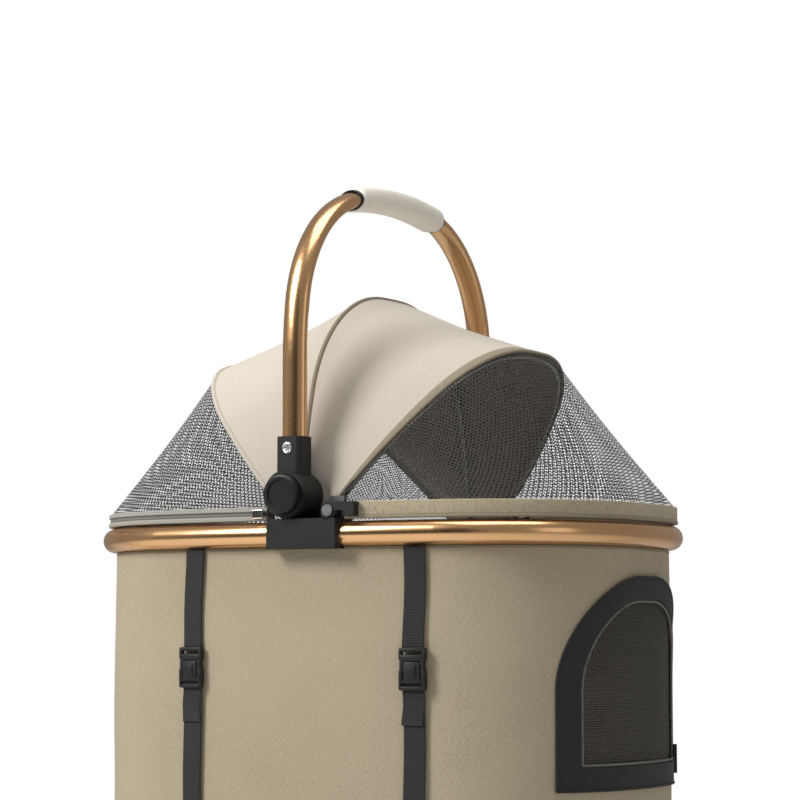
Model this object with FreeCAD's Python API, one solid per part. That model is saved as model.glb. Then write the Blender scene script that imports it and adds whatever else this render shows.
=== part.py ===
import FreeCAD, Part
import math
import os
from FreeCAD import Vector

# Pet stroller: a lift-off fabric carrier on a folding four-wheel frame. Millimetres, +Z up, +X to the front.
# The model is laid out from the middle of the carrier's rim, over the floor, and moved at the end so that
# the origin is under the middle of the whole stroller.

# Carrier rim: a three-radius oval tube
RIM_HALF_LENGTH = 267.0
RIM_HALF_WIDTH = 172.0
RIM_SIDE_RADIUS = 1050.0
RIM_END_RADIUS = 380.0
RIM_CORNER_RADIUS = 140.0
RIM_TUBE_RADIUS = 11.0

# Fits
RUNNING_CLEARANCE = 0.05
SKIN_GAP = 0.4

# Basket, hung under the rim
BASKET_DEPTH = 275.0
FABRIC_WALL = 3.0
BASKET_INSET = 1.0
COLLAR_HEIGHT = RIM_TUBE_RADIUS + 1.0
COLLAR_NOTCH = 3.0
BOARD_THICKNESS = 5.0
CUSHION_HEIGHT = 28.0
BOARD_MARGIN = 4.0

# Front mesh window
WINDOW_TOP = -47.0
WINDOW_BOTTOM = -212.0
WINDOW_HALF_WIDTH = 103.0
WINDOW_ARCH_RADIUS = 90.0
BINDING_WIDTH = 20.0
BINDING_THICKNESS = 1.6
MESH_THICKNESS = 2.0
PULL_LENGTH = 26.0
PULL_WIDTH = 9.0
PULL_TURN = 30.0

# Edge band and zip tape on the rim
BAND_BASE = RIM_TUBE_RADIUS + 1.5
BAND_HEIGHT = 15.5
BAND_OUTER = 6.0
BAND_THICKNESS = 5.0
BAND_START = 60.0
TAPE_HEIGHT = 12.0
TAPE_INNER = -8.0
TAPE_START = -20.0
SLIDER_LENGTH = 12.0
SLIDER_TRAVEL = 60.0

# Hub: the bail's pivot and the canopy's pivot, each side
HUB_X = 5.0
HUB_RISE = 24.0
HUB_Z = RIM_TUBE_RADIUS + HUB_RISE
HUB_DISC_RADIUS = 21.0
HUB_INSET = 13.7
HUB_WIDTH = 29.7
HUB_INNER_FACE = RIM_HALF_WIDTH - HUB_INSET
HUB_OUTER_FACE = HUB_INNER_FACE + HUB_WIDTH
HUB_POST_THICKNESS = 3.0
HUB_SPIGOT_RADIUS = 8.0
BUTTON_RADIUS = 17.5
BUTTON_HEIGHT = 8.0
BUTTON_TRAVEL = 4.0
BUTTON_GAP = 0.3
SADDLE_LOW_X = -15.0
SADDLE_HIGH_X = 56.0
SADDLE_HIGH_Z = RIM_TUBE_RADIUS + 2.5
SADDLE_LOW_Z = -RIM_TUBE_RADIUS - 2.0
SADDLE_OUTER_FACE = RIM_HALF_WIDTH + RIM_TUBE_RADIUS + 3.0
SLEEVE_WIDTH = 25.5
SLEEVE_LENGTH = 51.5
SLEEVE_THICKNESS = 23.0
SLEEVE_TOP = HUB_Z + SLEEVE_LENGTH
SLEEVE_INNER_FACE = HUB_INNER_FACE + 1.7
SLEEVE_OUTER_FACE = SLEEVE_INNER_FACE + SLEEVE_THICKNESS
CANOPY_PIVOT_X = 48.0
CANOPY_PIVOT_RISE = 9.0
CANOPY_PIVOT_Z = RIM_TUBE_RADIUS + CANOPY_PIVOT_RISE
LUG_RADIUS = 7.5
ARM_INNER_FACE = RIM_HALF_WIDTH + 4.0
ARM_THICKNESS = 8.0
ARM_END_X = 74.0
SCREW_RADIUS = 3.0
SCREW_HEAD_RADIUS = 5.2
SCREW_HEAD_HEIGHT = 2.0

# Bail (carry handle)
BAIL_HALF_WIDTH = RIM_HALF_WIDTH - 1.0
BAIL_STRAIGHT_TOP = 155.0
BAIL_RISE = 164.0
BAIL_TOP_RADIUS = 384.0
BAIL_SIDE_RADIUS = 374.0
BAIL_CORNER_RADIUS = 126.0
BAIL_HALF_SECTION_X = 12.0
BAIL_HALF_SECTION_Y = 7.75
BAIL_FOOT = HUB_Z + 25.0
GRIP_HALF_LENGTH = 75.0
GRIP_WALL = 2.9
COLLAR_WALL = 3.6
COLLAR_LENGTH = 3.0

# Canopy bows: half-width, rise, top radius, side radius, corner radius; and the plane each bow lies in
MID_BOW = (RIM_HALF_WIDTH - 17.0, 215.0, 700.0, 450.0, 128.0)
FRONT_BOW = (RIM_HALF_WIDTH - 12.0, 221.0, 1100.0, 320.0, 117.0)
REAR_BOW = (RIM_HALF_WIDTH - 12.0, 232.0, 820.0, 480.0, 131.0)
MID_BOW_X = 3.0
MID_BOW_BASE = COLLAR_HEIGHT
FRONT_BOW_X = 15.0
FRONT_BOW_TILT = 50.0
REAR_BOW_X = 5.0
REAR_BOW_TILT = 133.0
CANOPY_FOOT = RIM_TUBE_RADIUS + 3.0
CANOPY_THICKNESS = 3.0
BOW_WIRE_RADIUS = 2.0
BOW_WIRE_INSET = 7.0
BOW_SEAM_GAP = 1.0
EYE_RADIUS = 6.0
EYE_TOP = CANOPY_PIVOT_Z + 12.0
EYE_THICKNESS = 6.0
EYE_LINK_BASE = CANOPY_PIVOT_Z + 3.5
EYE_LINK_TOP = EYE_TOP + 2.0
EYE_ROOM = 1.0
BOW_BLOCK_HEIGHT = 12.0
BOW_BLOCK_LENGTH = 28.0
HUB_KEEPOUT_RADIUS = 25.0

# Side straps and side-release buckles
STRAP_X = (-104.0, 124.0)
STRAP_WIDTH = 20.0
STRAP_THICKNESS = 1.5
STRAP_TOP = -RIM_TUBE_RADIUS - 2.0
BUCKLE_TOP = -99.0
BUCKLE_BOTTOM = -136.0
BUCKLE_WIDTH = 25.0
BUCKLE_THICKNESS = 8.0
BUCKLE_SPLIT = -114.0

# Docking of the carrier on the frame
DOCK_X = (-150.0, 88.0)
DOCK_Y = 110.0
RAIL_LENGTH = 40.0
RAIL_THICKNESS = 14.0
FOOT_RADIUS = 20.0
FOOT_HEIGHT = 18.5
PEG_RADIUS = 8.0
PEG_LENGTH = 9.0
PEG_CLEARANCE = 0.4

# Stroller frame: heights over the floor
FRAME_HALF_WIDTH = 150.0
FRAME_HEIGHT = 420.0
FRAME_TUBE_RADIUS = 12.5
RAIL_OVERHANG = 18.0
RAIL_HALF_WIDTH = FRAME_HALF_WIDTH + RAIL_OVERHANG
FRAME_FRONT_BEND_X = 188.0
FRAME_REAR_BEND_X = -600.0
FRAME_FRONT_BEND = 90.0
FRAME_REAR_BEND = 90.0
CROSS_TUBE_X = (-470.0, 50.0)
CROSS_TUBE_RADIUS = 9.0

# Front casters
CASTER_X = 235.0
CASTER_TRAIL = 35.0
FRONT_WHEEL_RADIUS = 75.0
FRONT_WHEEL_WIDTH = 30.0
SOCKET_RADIUS = 17.0
SOCKET_HEIGHT = 52.0
STEM_RADIUS = 7.0
CROWN_RADIUS = 22.0
CROWN_THICKNESS = 9.0
FORK_THICKNESS = 5.0
FORK_GAP = 2.0
FORK_BOSS_RADIUS = 12.0
CROWN_BACK = 16.0
CROWN_FRONT = 14.0
CHEEK_HALF_FOOT = 11.0
CHEEK_SLANT = 5.0
FRONT_AXLE_RADIUS = 4.0

# Rear legs and wheels
LEG_PIVOT_X = -60.0
LEG_OFFSET = 28.0
LEG_HALF_WIDTH = FRAME_HALF_WIDTH + LEG_OFFSET
LEG_TUBE_RADIUS = 11.0
KNUCKLE_RADIUS = 18.0
STUD_RADIUS = 6.0
REAR_AXLE_X = -330.0
REAR_WHEEL_RADIUS = 90.0
REAR_WHEEL_WIDTH = 36.0
REAR_WHEEL_OFFSET = 37.0
REAR_WHEEL_Y = LEG_HALF_WIDTH + REAR_WHEEL_OFFSET
REAR_AXLE_RADIUS = 6.0
AXLE_BOSS_RADIUS = 15.0
TYRE_DEPTH = 15.0
RIM_RING_DEPTH = 7.0
SPOKES = 5
SPOKE_WIDTH = 14.0

# Brake pedal on the rear axle
PEDAL_LENGTH = 70.0
PEDAL_HALF_WIDTH = 45.0
PEDAL_THICKNESS = 6.0
PEDAL_LIFT = 20.0
PEDAL_HUB_RADIUS = 13.0

# Push bar
PUSH_HINGE_X = -622.0
PUSH_HINGE_RISE = 190.0
PUSH_HINGE_Z = FRAME_HEIGHT + PUSH_HINGE_RISE
PUSH_TOP_X = -690.0
PUSH_BAR_RISE = 395.0
PUSH_TOP_Z = PUSH_HINGE_Z + PUSH_BAR_RISE
PUSH_BEND = 60.0
PUSH_TUBE_RADIUS = 11.0
PUSH_GRIP_RADIUS = 16.0
PUSH_GRIP_HALF_LENGTH = 85.0
HINGE_RADIUS = 18.0
HINGE_CHEEK = 6.0
HINGE_PIN_RADIUS = 4.0
HINGE_DROP = 34.0
KNUCKLE_CUT = 7.0

# Storage basket under the frame
STORE_X = (-250.0, 40.0)
STORE_SIDE_GAP = 16.0
STORE_DROP = 22.0
STORE_DEPTH = 133.0
STORE_HALF_WIDTH = FRAME_HALF_WIDTH - STORE_SIDE_GAP
STORE_Z = (FRAME_HEIGHT - STORE_DROP - STORE_DEPTH, FRAME_HEIGHT - STORE_DROP)
STORE_WALL = 3.0
CLIP_X = (-225.0, -105.0, 15.0)
CLIP_WALL = 3.0
CLIP_HALF_LENGTH = 12.0

RIM_HEIGHT = FRAME_HEIGHT + FRAME_TUBE_RADIUS + RAIL_THICKNESS + FOOT_HEIGHT + BASKET_DEPTH
CENTRE_X = (PUSH_TOP_X - PUSH_GRIP_RADIUS + RIM_HALF_LENGTH + RIM_TUBE_RADIUS) / 2.0
FOREVER = 2000.0


def box(x, y, z):
    """A block between the low and high value of each axis."""
    return Part.makeBox(x[1] - x[0], y[1] - y[0], z[1] - z[0], Vector(x[0], y[0], z[0]))


def rod(start, end, radius):
    """A round bar between two points."""
    return Part.makeCylinder(radius, (end - start).Length, start, end - start)


def cross_rod(x, z, y, radius):
    """A round bar along Y at one place, from y[0] to y[1]."""
    return rod(Vector(x, y[0], z), Vector(x, y[1], z), radius)


def mirrored(shape):
    """The same piece on the other side of the stroller."""
    return shape.mirror(Vector(0, 0, 0), Vector(0, 1, 0))


def fused(shapes):
    """One solid from pieces that meet."""
    return shapes[0].multiFuse(shapes[1:]).removeSplitter()


def unit(vector):
    """The same direction, one millimetre long."""
    return vector * (1.0 / vector.Length)


def plane(origin, across, up):
    """A drawing plane: its origin and the directions of its two axes."""
    return (origin, unit(across), unit(up))


def on(sheet, u, v):
    """The point of a drawing plane at u across and v up."""
    return sheet[0] + sheet[1] * u + sheet[2] * v


def corner_of(oval):
    """Centre of an oval's corner arc, and the centres of its top and side arcs."""
    half_width, rise, top_radius, side_radius, corner_radius = oval
    top = Vector(0, rise - top_radius, 0)
    side = Vector(half_width - side_radius, 0, 0)
    link = side - top
    reach_top = top_radius - corner_radius
    reach_side = side_radius - corner_radius
    along = (reach_top**2 - reach_side**2 + link.Length**2) / (2.0 * link.Length)
    out = math.sqrt(reach_top**2 - along**2)
    step = unit(link)
    normal = Vector(-step.y, step.x, 0)
    if normal.x + normal.y < 0:
        normal = normal * -1.0
    return top + step * along + normal * out, top, side


def arc(sheet, centre, start, end):
    """An arc of less than half a turn on a drawing plane."""
    radius = (start - centre).Length
    middle = centre + unit(start + end - centre * 2.0) * radius
    corners = [on(sheet, p.x, p.y) for p in (start, middle, end)]
    return Part.Arc(*corners).toShape()


def half_oval(sheet, oval, grow=0.0, start=0.0):
    """Five tangent arcs over an oval, from its right side to its left, begun at a height on its sides."""
    half_width, rise, top_radius, side_radius, corner_radius = [size + grow for size in oval]
    corner, top, side = corner_of((half_width, rise, top_radius, side_radius, corner_radius))
    foot = side + Vector(math.sqrt(side_radius**2 - start**2), start, 0)
    low = corner + unit(corner - side) * corner_radius
    high = corner + unit(corner - top) * corner_radius

    def left(point):
        return Vector(-point.x, point.y, 0)

    return [
        arc(sheet, side, foot, low),
        arc(sheet, corner, low, high),
        arc(sheet, top, high, left(high)),
        arc(sheet, left(corner), left(high), left(low)),
        arc(sheet, left(side), left(low), left(foot)),
    ]


def bent_path(points, bend):
    """Straight runs through the points, with one bend radius at each corner."""
    edges = []
    start = points[0]
    for before, corner, after in zip(points, points[1:], points[2:]):
        back = unit(before - corner)
        ahead = unit(after - corner)
        half_angle = back.getAngle(ahead) / 2.0
        cut = bend / math.tan(half_angle)
        inward = unit(back + ahead)
        middle = corner + inward * (bend / math.sin(half_angle) - bend)
        edges.append(Part.LineSegment(start, corner + back * cut).toShape())
        edges.append(Part.Arc(corner + back * cut, middle, corner + ahead * cut).toShape())
        start = corner + ahead * cut
    edges.append(Part.LineSegment(start, points[-1]).toShape())
    return edges


def section(point, tangent, wide, half_wide, half_deep):
    """A round or elliptical face across a tube's path, its width along the direction wide."""
    if half_wide == half_deep:
        outline = Part.Circle(point, tangent, half_wide)
    else:
        deep = unit(tangent.cross(wide))
        outline = Part.Ellipse(point + wide * half_wide, point + deep * half_deep, point)
    return Part.Face(Part.Wire(outline.toShape()))


def tube(edges, half_wide, half_deep=None, wide=Vector(1, 0, 0)):
    """A bar along lines and arcs: each run is an extrusion or a turn of its section."""
    half_deep = half_deep or half_wide
    runs = []
    for edge in edges:
        low, high = edge.ParameterRange
        start = edge.valueAt(low)
        face = section(start, edge.tangentAt(low), wide, half_wide, half_deep)
        if edge.Curve.TypeId == "Part::GeomLine":
            runs.append(face.extrude(edge.valueAt(high) - start))
        else:
            runs.append(face.revolve(edge.Curve.Center, edge.Curve.Axis, math.degrees(high - low)))
    return fused(runs) if len(runs) > 1 else runs[0]


def rim_oval():
    """The rim's centre line as an oval, X across and Y up."""
    return (RIM_HALF_LENGTH, RIM_HALF_WIDTH, RIM_SIDE_RADIUS, RIM_END_RADIUS, RIM_CORNER_RADIUS)


def rim_oval_turned():
    """The same oval with Y across and X up."""
    return (RIM_HALF_WIDTH, RIM_HALF_LENGTH, RIM_END_RADIUS, RIM_SIDE_RADIUS, RIM_CORNER_RADIUS)


def rim_edges(grow, z):
    """The whole rim oval at one height, grown or shrunk."""
    origin = Vector(0, 0, z)
    near = half_oval(plane(origin, Vector(1, 0, 0), Vector(0, 1, 0)), rim_oval(), grow)
    far = half_oval(plane(origin, Vector(-1, 0, 0), Vector(0, -1, 0)), rim_oval(), grow)
    return near + far


def rim_block(grow, z):
    """A solid oval between two heights."""
    face = Part.Face(Part.Wire(rim_edges(grow, z[0])))
    return face.extrude(Vector(0, 0, z[1] - z[0]))


def rim_ring(outer, inner, z):
    """An oval wall between two growths of the rim oval and two heights."""
    return rim_block(outer, z).cut(rim_block(inner, z))


def rim_y(x, grow=0.0):
    """Distance from the middle plane to the rim oval's side arc, at a place along it."""
    radius = RIM_SIDE_RADIUS + grow
    return RIM_HALF_WIDTH - RIM_SIDE_RADIUS + math.sqrt(radius**2 - x**2)


# ---- carrier: rim, basket, floor, window ----


def rim_tube():
    return tube(rim_edges(0.0, 0.0), RIM_TUBE_RADIUS)


def basket_outer():
    """Growth of the rim oval at the basket's outer face."""
    return -BASKET_INSET


def basket_shell():
    """Basket wall and floor, with the collar that passes up inside the rim tube."""
    top = -RIM_TUBE_RADIUS - SKIN_GAP
    outer = basket_outer()
    inner = outer - FABRIC_WALL
    neck = -RIM_TUBE_RADIUS - SKIN_GAP
    wall = rim_block(outer, (-BASKET_DEPTH, top))
    wall = wall.cut(rim_block(inner, (-BASKET_DEPTH + FABRIC_WALL, top - FABRIC_WALL)))
    wall = wall.cut(rim_block(neck - FABRIC_WALL, (top - 2.0 * FABRIC_WALL, top)))
    collar = rim_ring(neck, neck - FABRIC_WALL, (top - FABRIC_WALL, COLLAR_HEIGHT))
    notch_x = (SADDLE_LOW_X - 1.0, SADDLE_HIGH_X + 1.0)
    notch = box(notch_x, (-FOREVER, FOREVER), (COLLAR_HEIGHT - COLLAR_NOTCH, FOREVER))
    return fused([wall, collar]).cut(notch)


def window_outline(grow):
    """The arched window's outline as a block along X, grown all round."""
    half = WINDOW_HALF_WIDTH + grow
    low = WINDOW_BOTTOM - grow
    high = WINDOW_TOP + grow
    bend = WINDOW_ARCH_RADIUS + grow
    x = RIM_HALF_LENGTH / 2.0
    corners = [Vector(x, -half, low), Vector(x, -half, high), Vector(x, half, high), Vector(x, half, low)]
    edges = bent_path(corners, bend)
    edges.append(Part.LineSegment(corners[-1], corners[0]).toShape())
    return Part.Face(Part.Wire(edges)).extrude(Vector(RIM_HALF_LENGTH, 0, 0))


def basket_fabric():
    return basket_shell().cut(window_outline(0.0))


def front_window_mesh():
    middle = basket_outer() - FABRIC_WALL / 2.0
    z = (-BASKET_DEPTH, -RIM_TUBE_RADIUS - 2.0 * FABRIC_WALL)
    skin = rim_ring(middle + MESH_THICKNESS / 2.0, middle - MESH_THICKNESS / 2.0, z)
    return skin.common(window_outline(-SKIN_GAP))


def front_window_binding():
    outer = basket_outer() + BINDING_THICKNESS
    z = (-BASKET_DEPTH + FABRIC_WALL, -RIM_TUBE_RADIUS - FABRIC_WALL)
    skin = rim_ring(outer, basket_outer(), z)
    return skin.common(window_outline(BINDING_WIDTH / 2.0)).cut(window_outline(-BINDING_WIDTH / 2.0))


def base_board():
    z = (-BASKET_DEPTH + FABRIC_WALL, -BASKET_DEPTH + FABRIC_WALL + BOARD_THICKNESS)
    return rim_block(basket_outer() - FABRIC_WALL - BOARD_MARGIN, z)


def cushion():
    low = -BASKET_DEPTH + FABRIC_WALL + BOARD_THICKNESS
    pad = rim_block(basket_outer() - FABRIC_WALL - 2.0 * BOARD_MARGIN, (low, low + CUSHION_HEIGHT))
    return pad


def window_zip_pull():
    """The zip's cord pull at the foot of the window: a flat loop on the basket's front corner."""
    corner = corner_of(rim_oval())[0]
    face = RIM_CORNER_RADIUS + basket_outer() + BINDING_THICKNESS + SKIN_GAP
    x = (corner.x + face, corner.x + face + PULL_WIDTH / 3.0)
    y = (corner.y - PULL_WIDTH / 2.0, corner.y + PULL_WIDTH / 2.0)
    z = (WINDOW_BOTTOM - 2.0, WINDOW_BOTTOM - 2.0 + PULL_LENGTH)
    bar = box(x, y, z)
    hole_y = (y[0] + PULL_WIDTH / 3.0, y[1] - PULL_WIDTH / 3.0)
    pull = bar.cut(box((x[0] - 1.0, x[1] + 1.0), hole_y, (z[0] + 3.0, z[1] - 8.0)))
    pull.rotate(corner, Vector(0, 0, 1), PULL_TURN)
    return pull


# ---- straps and buckles ----


def on_both_sides(shapes):
    """A group of pieces and their mirror images."""
    return Part.Compound(shapes + [mirrored(shape) for shape in shapes])


def strap_block(x, half_width, low_face, high_face, z):
    """A piece that follows the basket's side at one strap."""
    outer = basket_outer()
    ring = rim_ring(outer + high_face, outer + low_face, z)
    return ring.common(box((x - half_width, x + half_width), (-FOREVER, 0), z))


def side_straps():
    """Webbing in two lengths a strap: rim to buckle, and buckle to base."""
    webs = []
    for x in STRAP_X:
        upper = (BUCKLE_TOP, STRAP_TOP)
        lower = (-BASKET_DEPTH, BUCKLE_BOTTOM)
        for z in (upper, lower):
            webs.append(strap_block(x, STRAP_WIDTH / 2.0, SKIN_GAP, SKIN_GAP + STRAP_THICKNESS, z))
    return on_both_sides(webs)


def buckle_halves(z, shoulder):
    """One half of each side-release buckle, narrower by a shoulder on each side."""
    halves = []
    for x in STRAP_X:
        half_width = BUCKLE_WIDTH / 2.0 - shoulder
        halves.append(strap_block(x, half_width, SKIN_GAP, SKIN_GAP + BUCKLE_THICKNESS, z))
    return on_both_sides(halves)


def buckle_plugs():
    return buckle_halves((BUCKLE_SPLIT, BUCKLE_TOP), 1.5)


def buckle_sockets():
    return buckle_halves((BUCKLE_BOTTOM, BUCKLE_SPLIT), 0.0)


# ---- zip tape, band and arms ----


def zip_tape():
    ring = rim_ring(BAND_OUTER, TAPE_INNER, (BAND_BASE, BAND_BASE + TAPE_HEIGHT))
    return ring.common(box((-FOREVER, TAPE_START), (-FOREVER, FOREVER), (0, FOREVER)))


def zip_slider():
    low = rim_y(TAPE_START, BAND_OUTER) + SKIN_GAP
    x = (TAPE_START - SLIDER_LENGTH - 2.0, TAPE_START - 2.0)
    body = box(x, (-low - 3.0, -low), (BAND_BASE + 2.0, BAND_BASE + TAPE_HEIGHT - 2.0))
    return body.makeFillet(1.0, body.Edges)


def hem_band():
    ring = rim_ring(BAND_OUTER, BAND_OUTER - BAND_THICKNESS, (BAND_BASE, BAND_BASE + BAND_HEIGHT))
    return ring.common(box((BAND_START, FOREVER), (-FOREVER, FOREVER), (0, FOREVER)))


def pivot_bore(y, radius):
    return cross_rod(CANOPY_PIVOT_X, CANOPY_PIVOT_Z, y, radius)


def hem_arms():
    """Plastic arms that carry the band from its pivot screws."""
    y = (-ARM_INNER_FACE - ARM_THICKNESS, -ARM_INNER_FACE)
    eye = pivot_bore(y, LUG_RADIUS)
    bar = box((CANOPY_PIVOT_X, ARM_END_X), y, (CANOPY_PIVOT_Z, CANOPY_PIVOT_Z + LUG_RADIUS))
    band_face = rim_y(BAND_START, BAND_OUTER)
    pad_y = (-ARM_INNER_FACE - ARM_THICKNESS, -band_face + 1.0)
    pad = box((ARM_END_X - 11.0, ARM_END_X), pad_y, (CANOPY_PIVOT_Z - 5.0, CANOPY_PIVOT_Z + LUG_RADIUS))
    arm = fused([eye, bar, pad]).cut(pivot_bore((-FOREVER, 0), SCREW_RADIUS + RUNNING_CLEARANCE))
    arm = arm.cut(hem_band())
    return Part.Compound([arm, mirrored(arm)])


def canopy_pivot_screws():
    """A screw each side through the band's arm, the saddle's lug and the front bow's eye."""
    outer = ARM_INNER_FACE + ARM_THICKNESS
    shank = pivot_bore((-outer, -HUB_INNER_FACE + SKIN_GAP + EYE_THICKNESS), SCREW_RADIUS)
    head = pivot_bore((-outer - SCREW_HEAD_HEIGHT, -outer), SCREW_HEAD_RADIUS)
    screw = fused([shank, head])
    return Part.Compound([screw, mirrored(screw)])


# ---- hubs, bail and buttons ----


def bow_block(grow):
    """Limits of the block that holds the feet of the two fixed bows."""
    x = (HUB_X + 5.0 - BOW_BLOCK_LENGTH, HUB_X + 5.0)
    wire_side = -MID_BOW[0] + BOW_WIRE_INSET + 2.0 * BOW_WIRE_RADIUS
    y = (-HUB_INNER_FACE + HUB_POST_THICKNESS - 0.5, wire_side)
    low = COLLAR_HEIGHT + SKIN_GAP
    limits = (x, y, (low, low + BOW_BLOCK_HEIGHT))
    return [(span[0] - grow, span[1] + grow) for span in limits]


def hub_saddle():
    """Clamp round the rim tube, with the post for the bail and the lug for the canopy."""
    deck = COLLAR_HEIGHT - COLLAR_NOTCH + SKIN_GAP
    inner = HUB_INNER_FACE - HUB_POST_THICKNESS
    x = (SADDLE_LOW_X, SADDLE_HIGH_X)
    block = box(x, (-SADDLE_OUTER_FACE, -inner), (SADDLE_LOW_Z, SADDLE_HIGH_Z))
    block = block.cut(rim_block(-RIM_TUBE_RADIUS + 0.5, (SADDLE_LOW_Z - 1.0, deck)))
    block = block.cut(rim_block(basket_outer() + SKIN_GAP, (SADDLE_LOW_Z - 1.0, -RIM_TUBE_RADIUS)))
    block = block.cut(tube(rim_edges(0.0, 0.0), RIM_TUBE_RADIUS))
    post = cross_rod(HUB_X, HUB_Z, (-HUB_INNER_FACE, -inner), HUB_DISC_RADIUS - 1.0)
    web = box(post_web_x(), (-HUB_INNER_FACE, -inner), (deck, HUB_Z))
    spigot = cross_rod(HUB_X, HUB_Z, (-HUB_OUTER_FACE + BUTTON_HEIGHT + 4.0, -inner), HUB_SPIGOT_RADIUS)
    lug_y = (-ARM_INNER_FACE + SKIN_GAP, -HUB_INNER_FACE)
    lug = pivot_bore(lug_y, LUG_RADIUS)
    lug_x = (CANOPY_PIVOT_X - LUG_RADIUS, CANOPY_PIVOT_X + LUG_RADIUS)
    neck = box(lug_x, lug_y, (SADDLE_HIGH_Z - 1.0, CANOPY_PIVOT_Z))
    holder = box(*bow_block(0.0)).cut(canopy_bow_mid()).cut(canopy_bow_rear())
    saddle = fused([block, post, web, spigot, lug, neck, holder])
    arm_room = pivot_bore((-FOREVER, -ARM_INNER_FACE + SKIN_GAP), LUG_RADIUS + 2.0 * SKIN_GAP)
    return saddle.cut(arm_room).cut(pivot_bore((-FOREVER, 0), SCREW_RADIUS))


def bail_edges(foot):
    """The bail's path: straight legs from their feet, and an arch of five arcs."""
    oval = (BAIL_HALF_WIDTH, BAIL_RISE, BAIL_TOP_RADIUS, BAIL_SIDE_RADIUS, BAIL_CORNER_RADIUS)
    sheet = plane(Vector(HUB_X, 0, BAIL_STRAIGHT_TOP), Vector(0, -1, 0), Vector(0, 0, 1))
    legs = []
    for side in (-1.0, 1.0):
        low = Vector(HUB_X, side * BAIL_HALF_WIDTH, foot)
        high = Vector(HUB_X, side * BAIL_HALF_WIDTH, BAIL_STRAIGHT_TOP)
        legs.append(Part.LineSegment(low, high).toShape())
    return [legs[0]] + half_oval(sheet, oval) + [legs[1]]


def bail_bar(wall=0.0):
    """The bail's tube, or a thicker bar on the same path for what fits round it."""
    return tube(bail_edges(BAIL_FOOT), BAIL_HALF_SECTION_X + wall, BAIL_HALF_SECTION_Y + wall)


def bail_grip(bar):
    y = (-GRIP_HALF_LENGTH, GRIP_HALF_LENGTH)
    return bail_bar(GRIP_WALL).common(box((-FOREVER, FOREVER), y, (0, FOREVER))).cut(bar)


def bail_grip_collars(bar):
    y = (-GRIP_HALF_LENGTH - COLLAR_LENGTH, -GRIP_HALF_LENGTH)
    ring = bail_bar(COLLAR_WALL).common(box((-FOREVER, FOREVER), y, (0, FOREVER))).cut(bar)
    return Part.Compound([ring, mirrored(ring)])


def button_bore(grow, depth):
    y = (-FOREVER, -HUB_OUTER_FACE + depth)
    return cross_rod(HUB_X, HUB_Z, y, BUTTON_RADIUS + grow)


def bail_socket(bar):
    """Rotating hub disc with the sleeve that holds the bail's leg and a pocket for the button."""
    half = SLEEVE_WIDTH / 2.0
    disc = cross_rod(HUB_X, HUB_Z, (-HUB_OUTER_FACE, -HUB_INNER_FACE - SKIN_GAP), HUB_DISC_RADIUS)
    sleeve_y = (-SLEEVE_OUTER_FACE, -SLEEVE_INNER_FACE)
    sleeve = box((HUB_X - half, HUB_X + half), sleeve_y, (HUB_Z, SLEEVE_TOP))
    upright = [edge for edge in sleeve.Edges if abs(edge.tangentAt(0).z) > 0.9]
    sleeve = sleeve.makeFillet(5.0, upright)
    socket = fused([disc, sleeve])
    socket = socket.cut(button_bore(BUTTON_GAP, BUTTON_TRAVEL + 4.0))
    spigot_y = (-FOREVER, -HUB_INNER_FACE + 1.0)
    socket = socket.cut(cross_rod(HUB_X, HUB_Z, spigot_y, HUB_SPIGOT_RADIUS + RUNNING_CLEARANCE))
    return socket.cut(bar).cut(bail_screw())


def bail_screw():
    """Cross-head screw that holds the leg in its sleeve, seen on the sleeve's outer face."""
    z = SLEEVE_TOP - 10.5
    face = -SLEEVE_OUTER_FACE
    head = cross_rod(HUB_X, z, (face - 1.0, face + 1.2), SCREW_HEAD_RADIUS)
    slots = [
        box((HUB_X - 3.0, HUB_X + 3.0), (face - 1.0, face), (z - 0.6, z + 0.6)),
        box((HUB_X - 0.6, HUB_X + 0.6), (face - 1.0, face), (z - 3.0, z + 3.0)),
    ]
    for slot in slots:
        head = head.cut(slot)
    return head


def hub_button():
    """Release button: a stepped cap on a stem, in the disc's pocket."""
    face = -HUB_OUTER_FACE
    cap = cross_rod(HUB_X, HUB_Z, (face - BUTTON_HEIGHT, face + 4.0 - SKIN_GAP), BUTTON_RADIUS)
    rounded = [edge for edge in cap.Edges if abs(edge.valueAt(0).y - (face - BUTTON_HEIGHT)) < 0.01]
    cap = cap.makeFillet(2.5, rounded)
    dish = cross_rod(HUB_X, HUB_Z, (face - BUTTON_HEIGHT, face - BUTTON_HEIGHT + 1.0), BUTTON_RADIUS - 5.0)
    return cap.cut(dish)


# ---- canopy ----


def mid_plane(shift):
    return plane(Vector(MID_BOW_X + shift, 0, MID_BOW_BASE), Vector(0, 1, 0), Vector(0, 0, 1))


def tilted_plane(x, tilt, shift):
    """A bow's plane through the rim's centre plane at x, moved square to itself by shift."""
    turn = math.radians(tilt)
    up = Vector(math.cos(turn), 0, math.sin(turn))
    square = Vector(math.sin(turn), 0, -math.cos(turn))
    return plane(Vector(x, 0, 0) + square * shift, Vector(0, 1, 0), up)


def thin_profile(sheet, oval, start, thickness):
    """A closed band along a half oval: outer arcs, inner arcs and two short ends."""
    outer = half_oval(sheet, oval, 0.0, start)
    inner = half_oval(sheet, oval, -thickness, start)
    starts = [edges[0].valueAt(edges[0].FirstParameter) for edges in (inner, outer)]
    ends = [edges[-1].valueAt(edges[-1].LastParameter) for edges in (outer, inner)]
    first = Part.LineSegment(*starts).toShape()
    last = Part.LineSegment(*ends).toShape()
    return Part.Wire(outer + [last] + inner[::-1] + [first])


def stretched(first, second, thickness):
    """Cloth stretched straight between two half ovals, each given as plane, oval and start height."""
    ends = [thin_profile(*first, thickness), thin_profile(*second, thickness)]
    return Part.makeLoft(ends, True, True)


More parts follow.
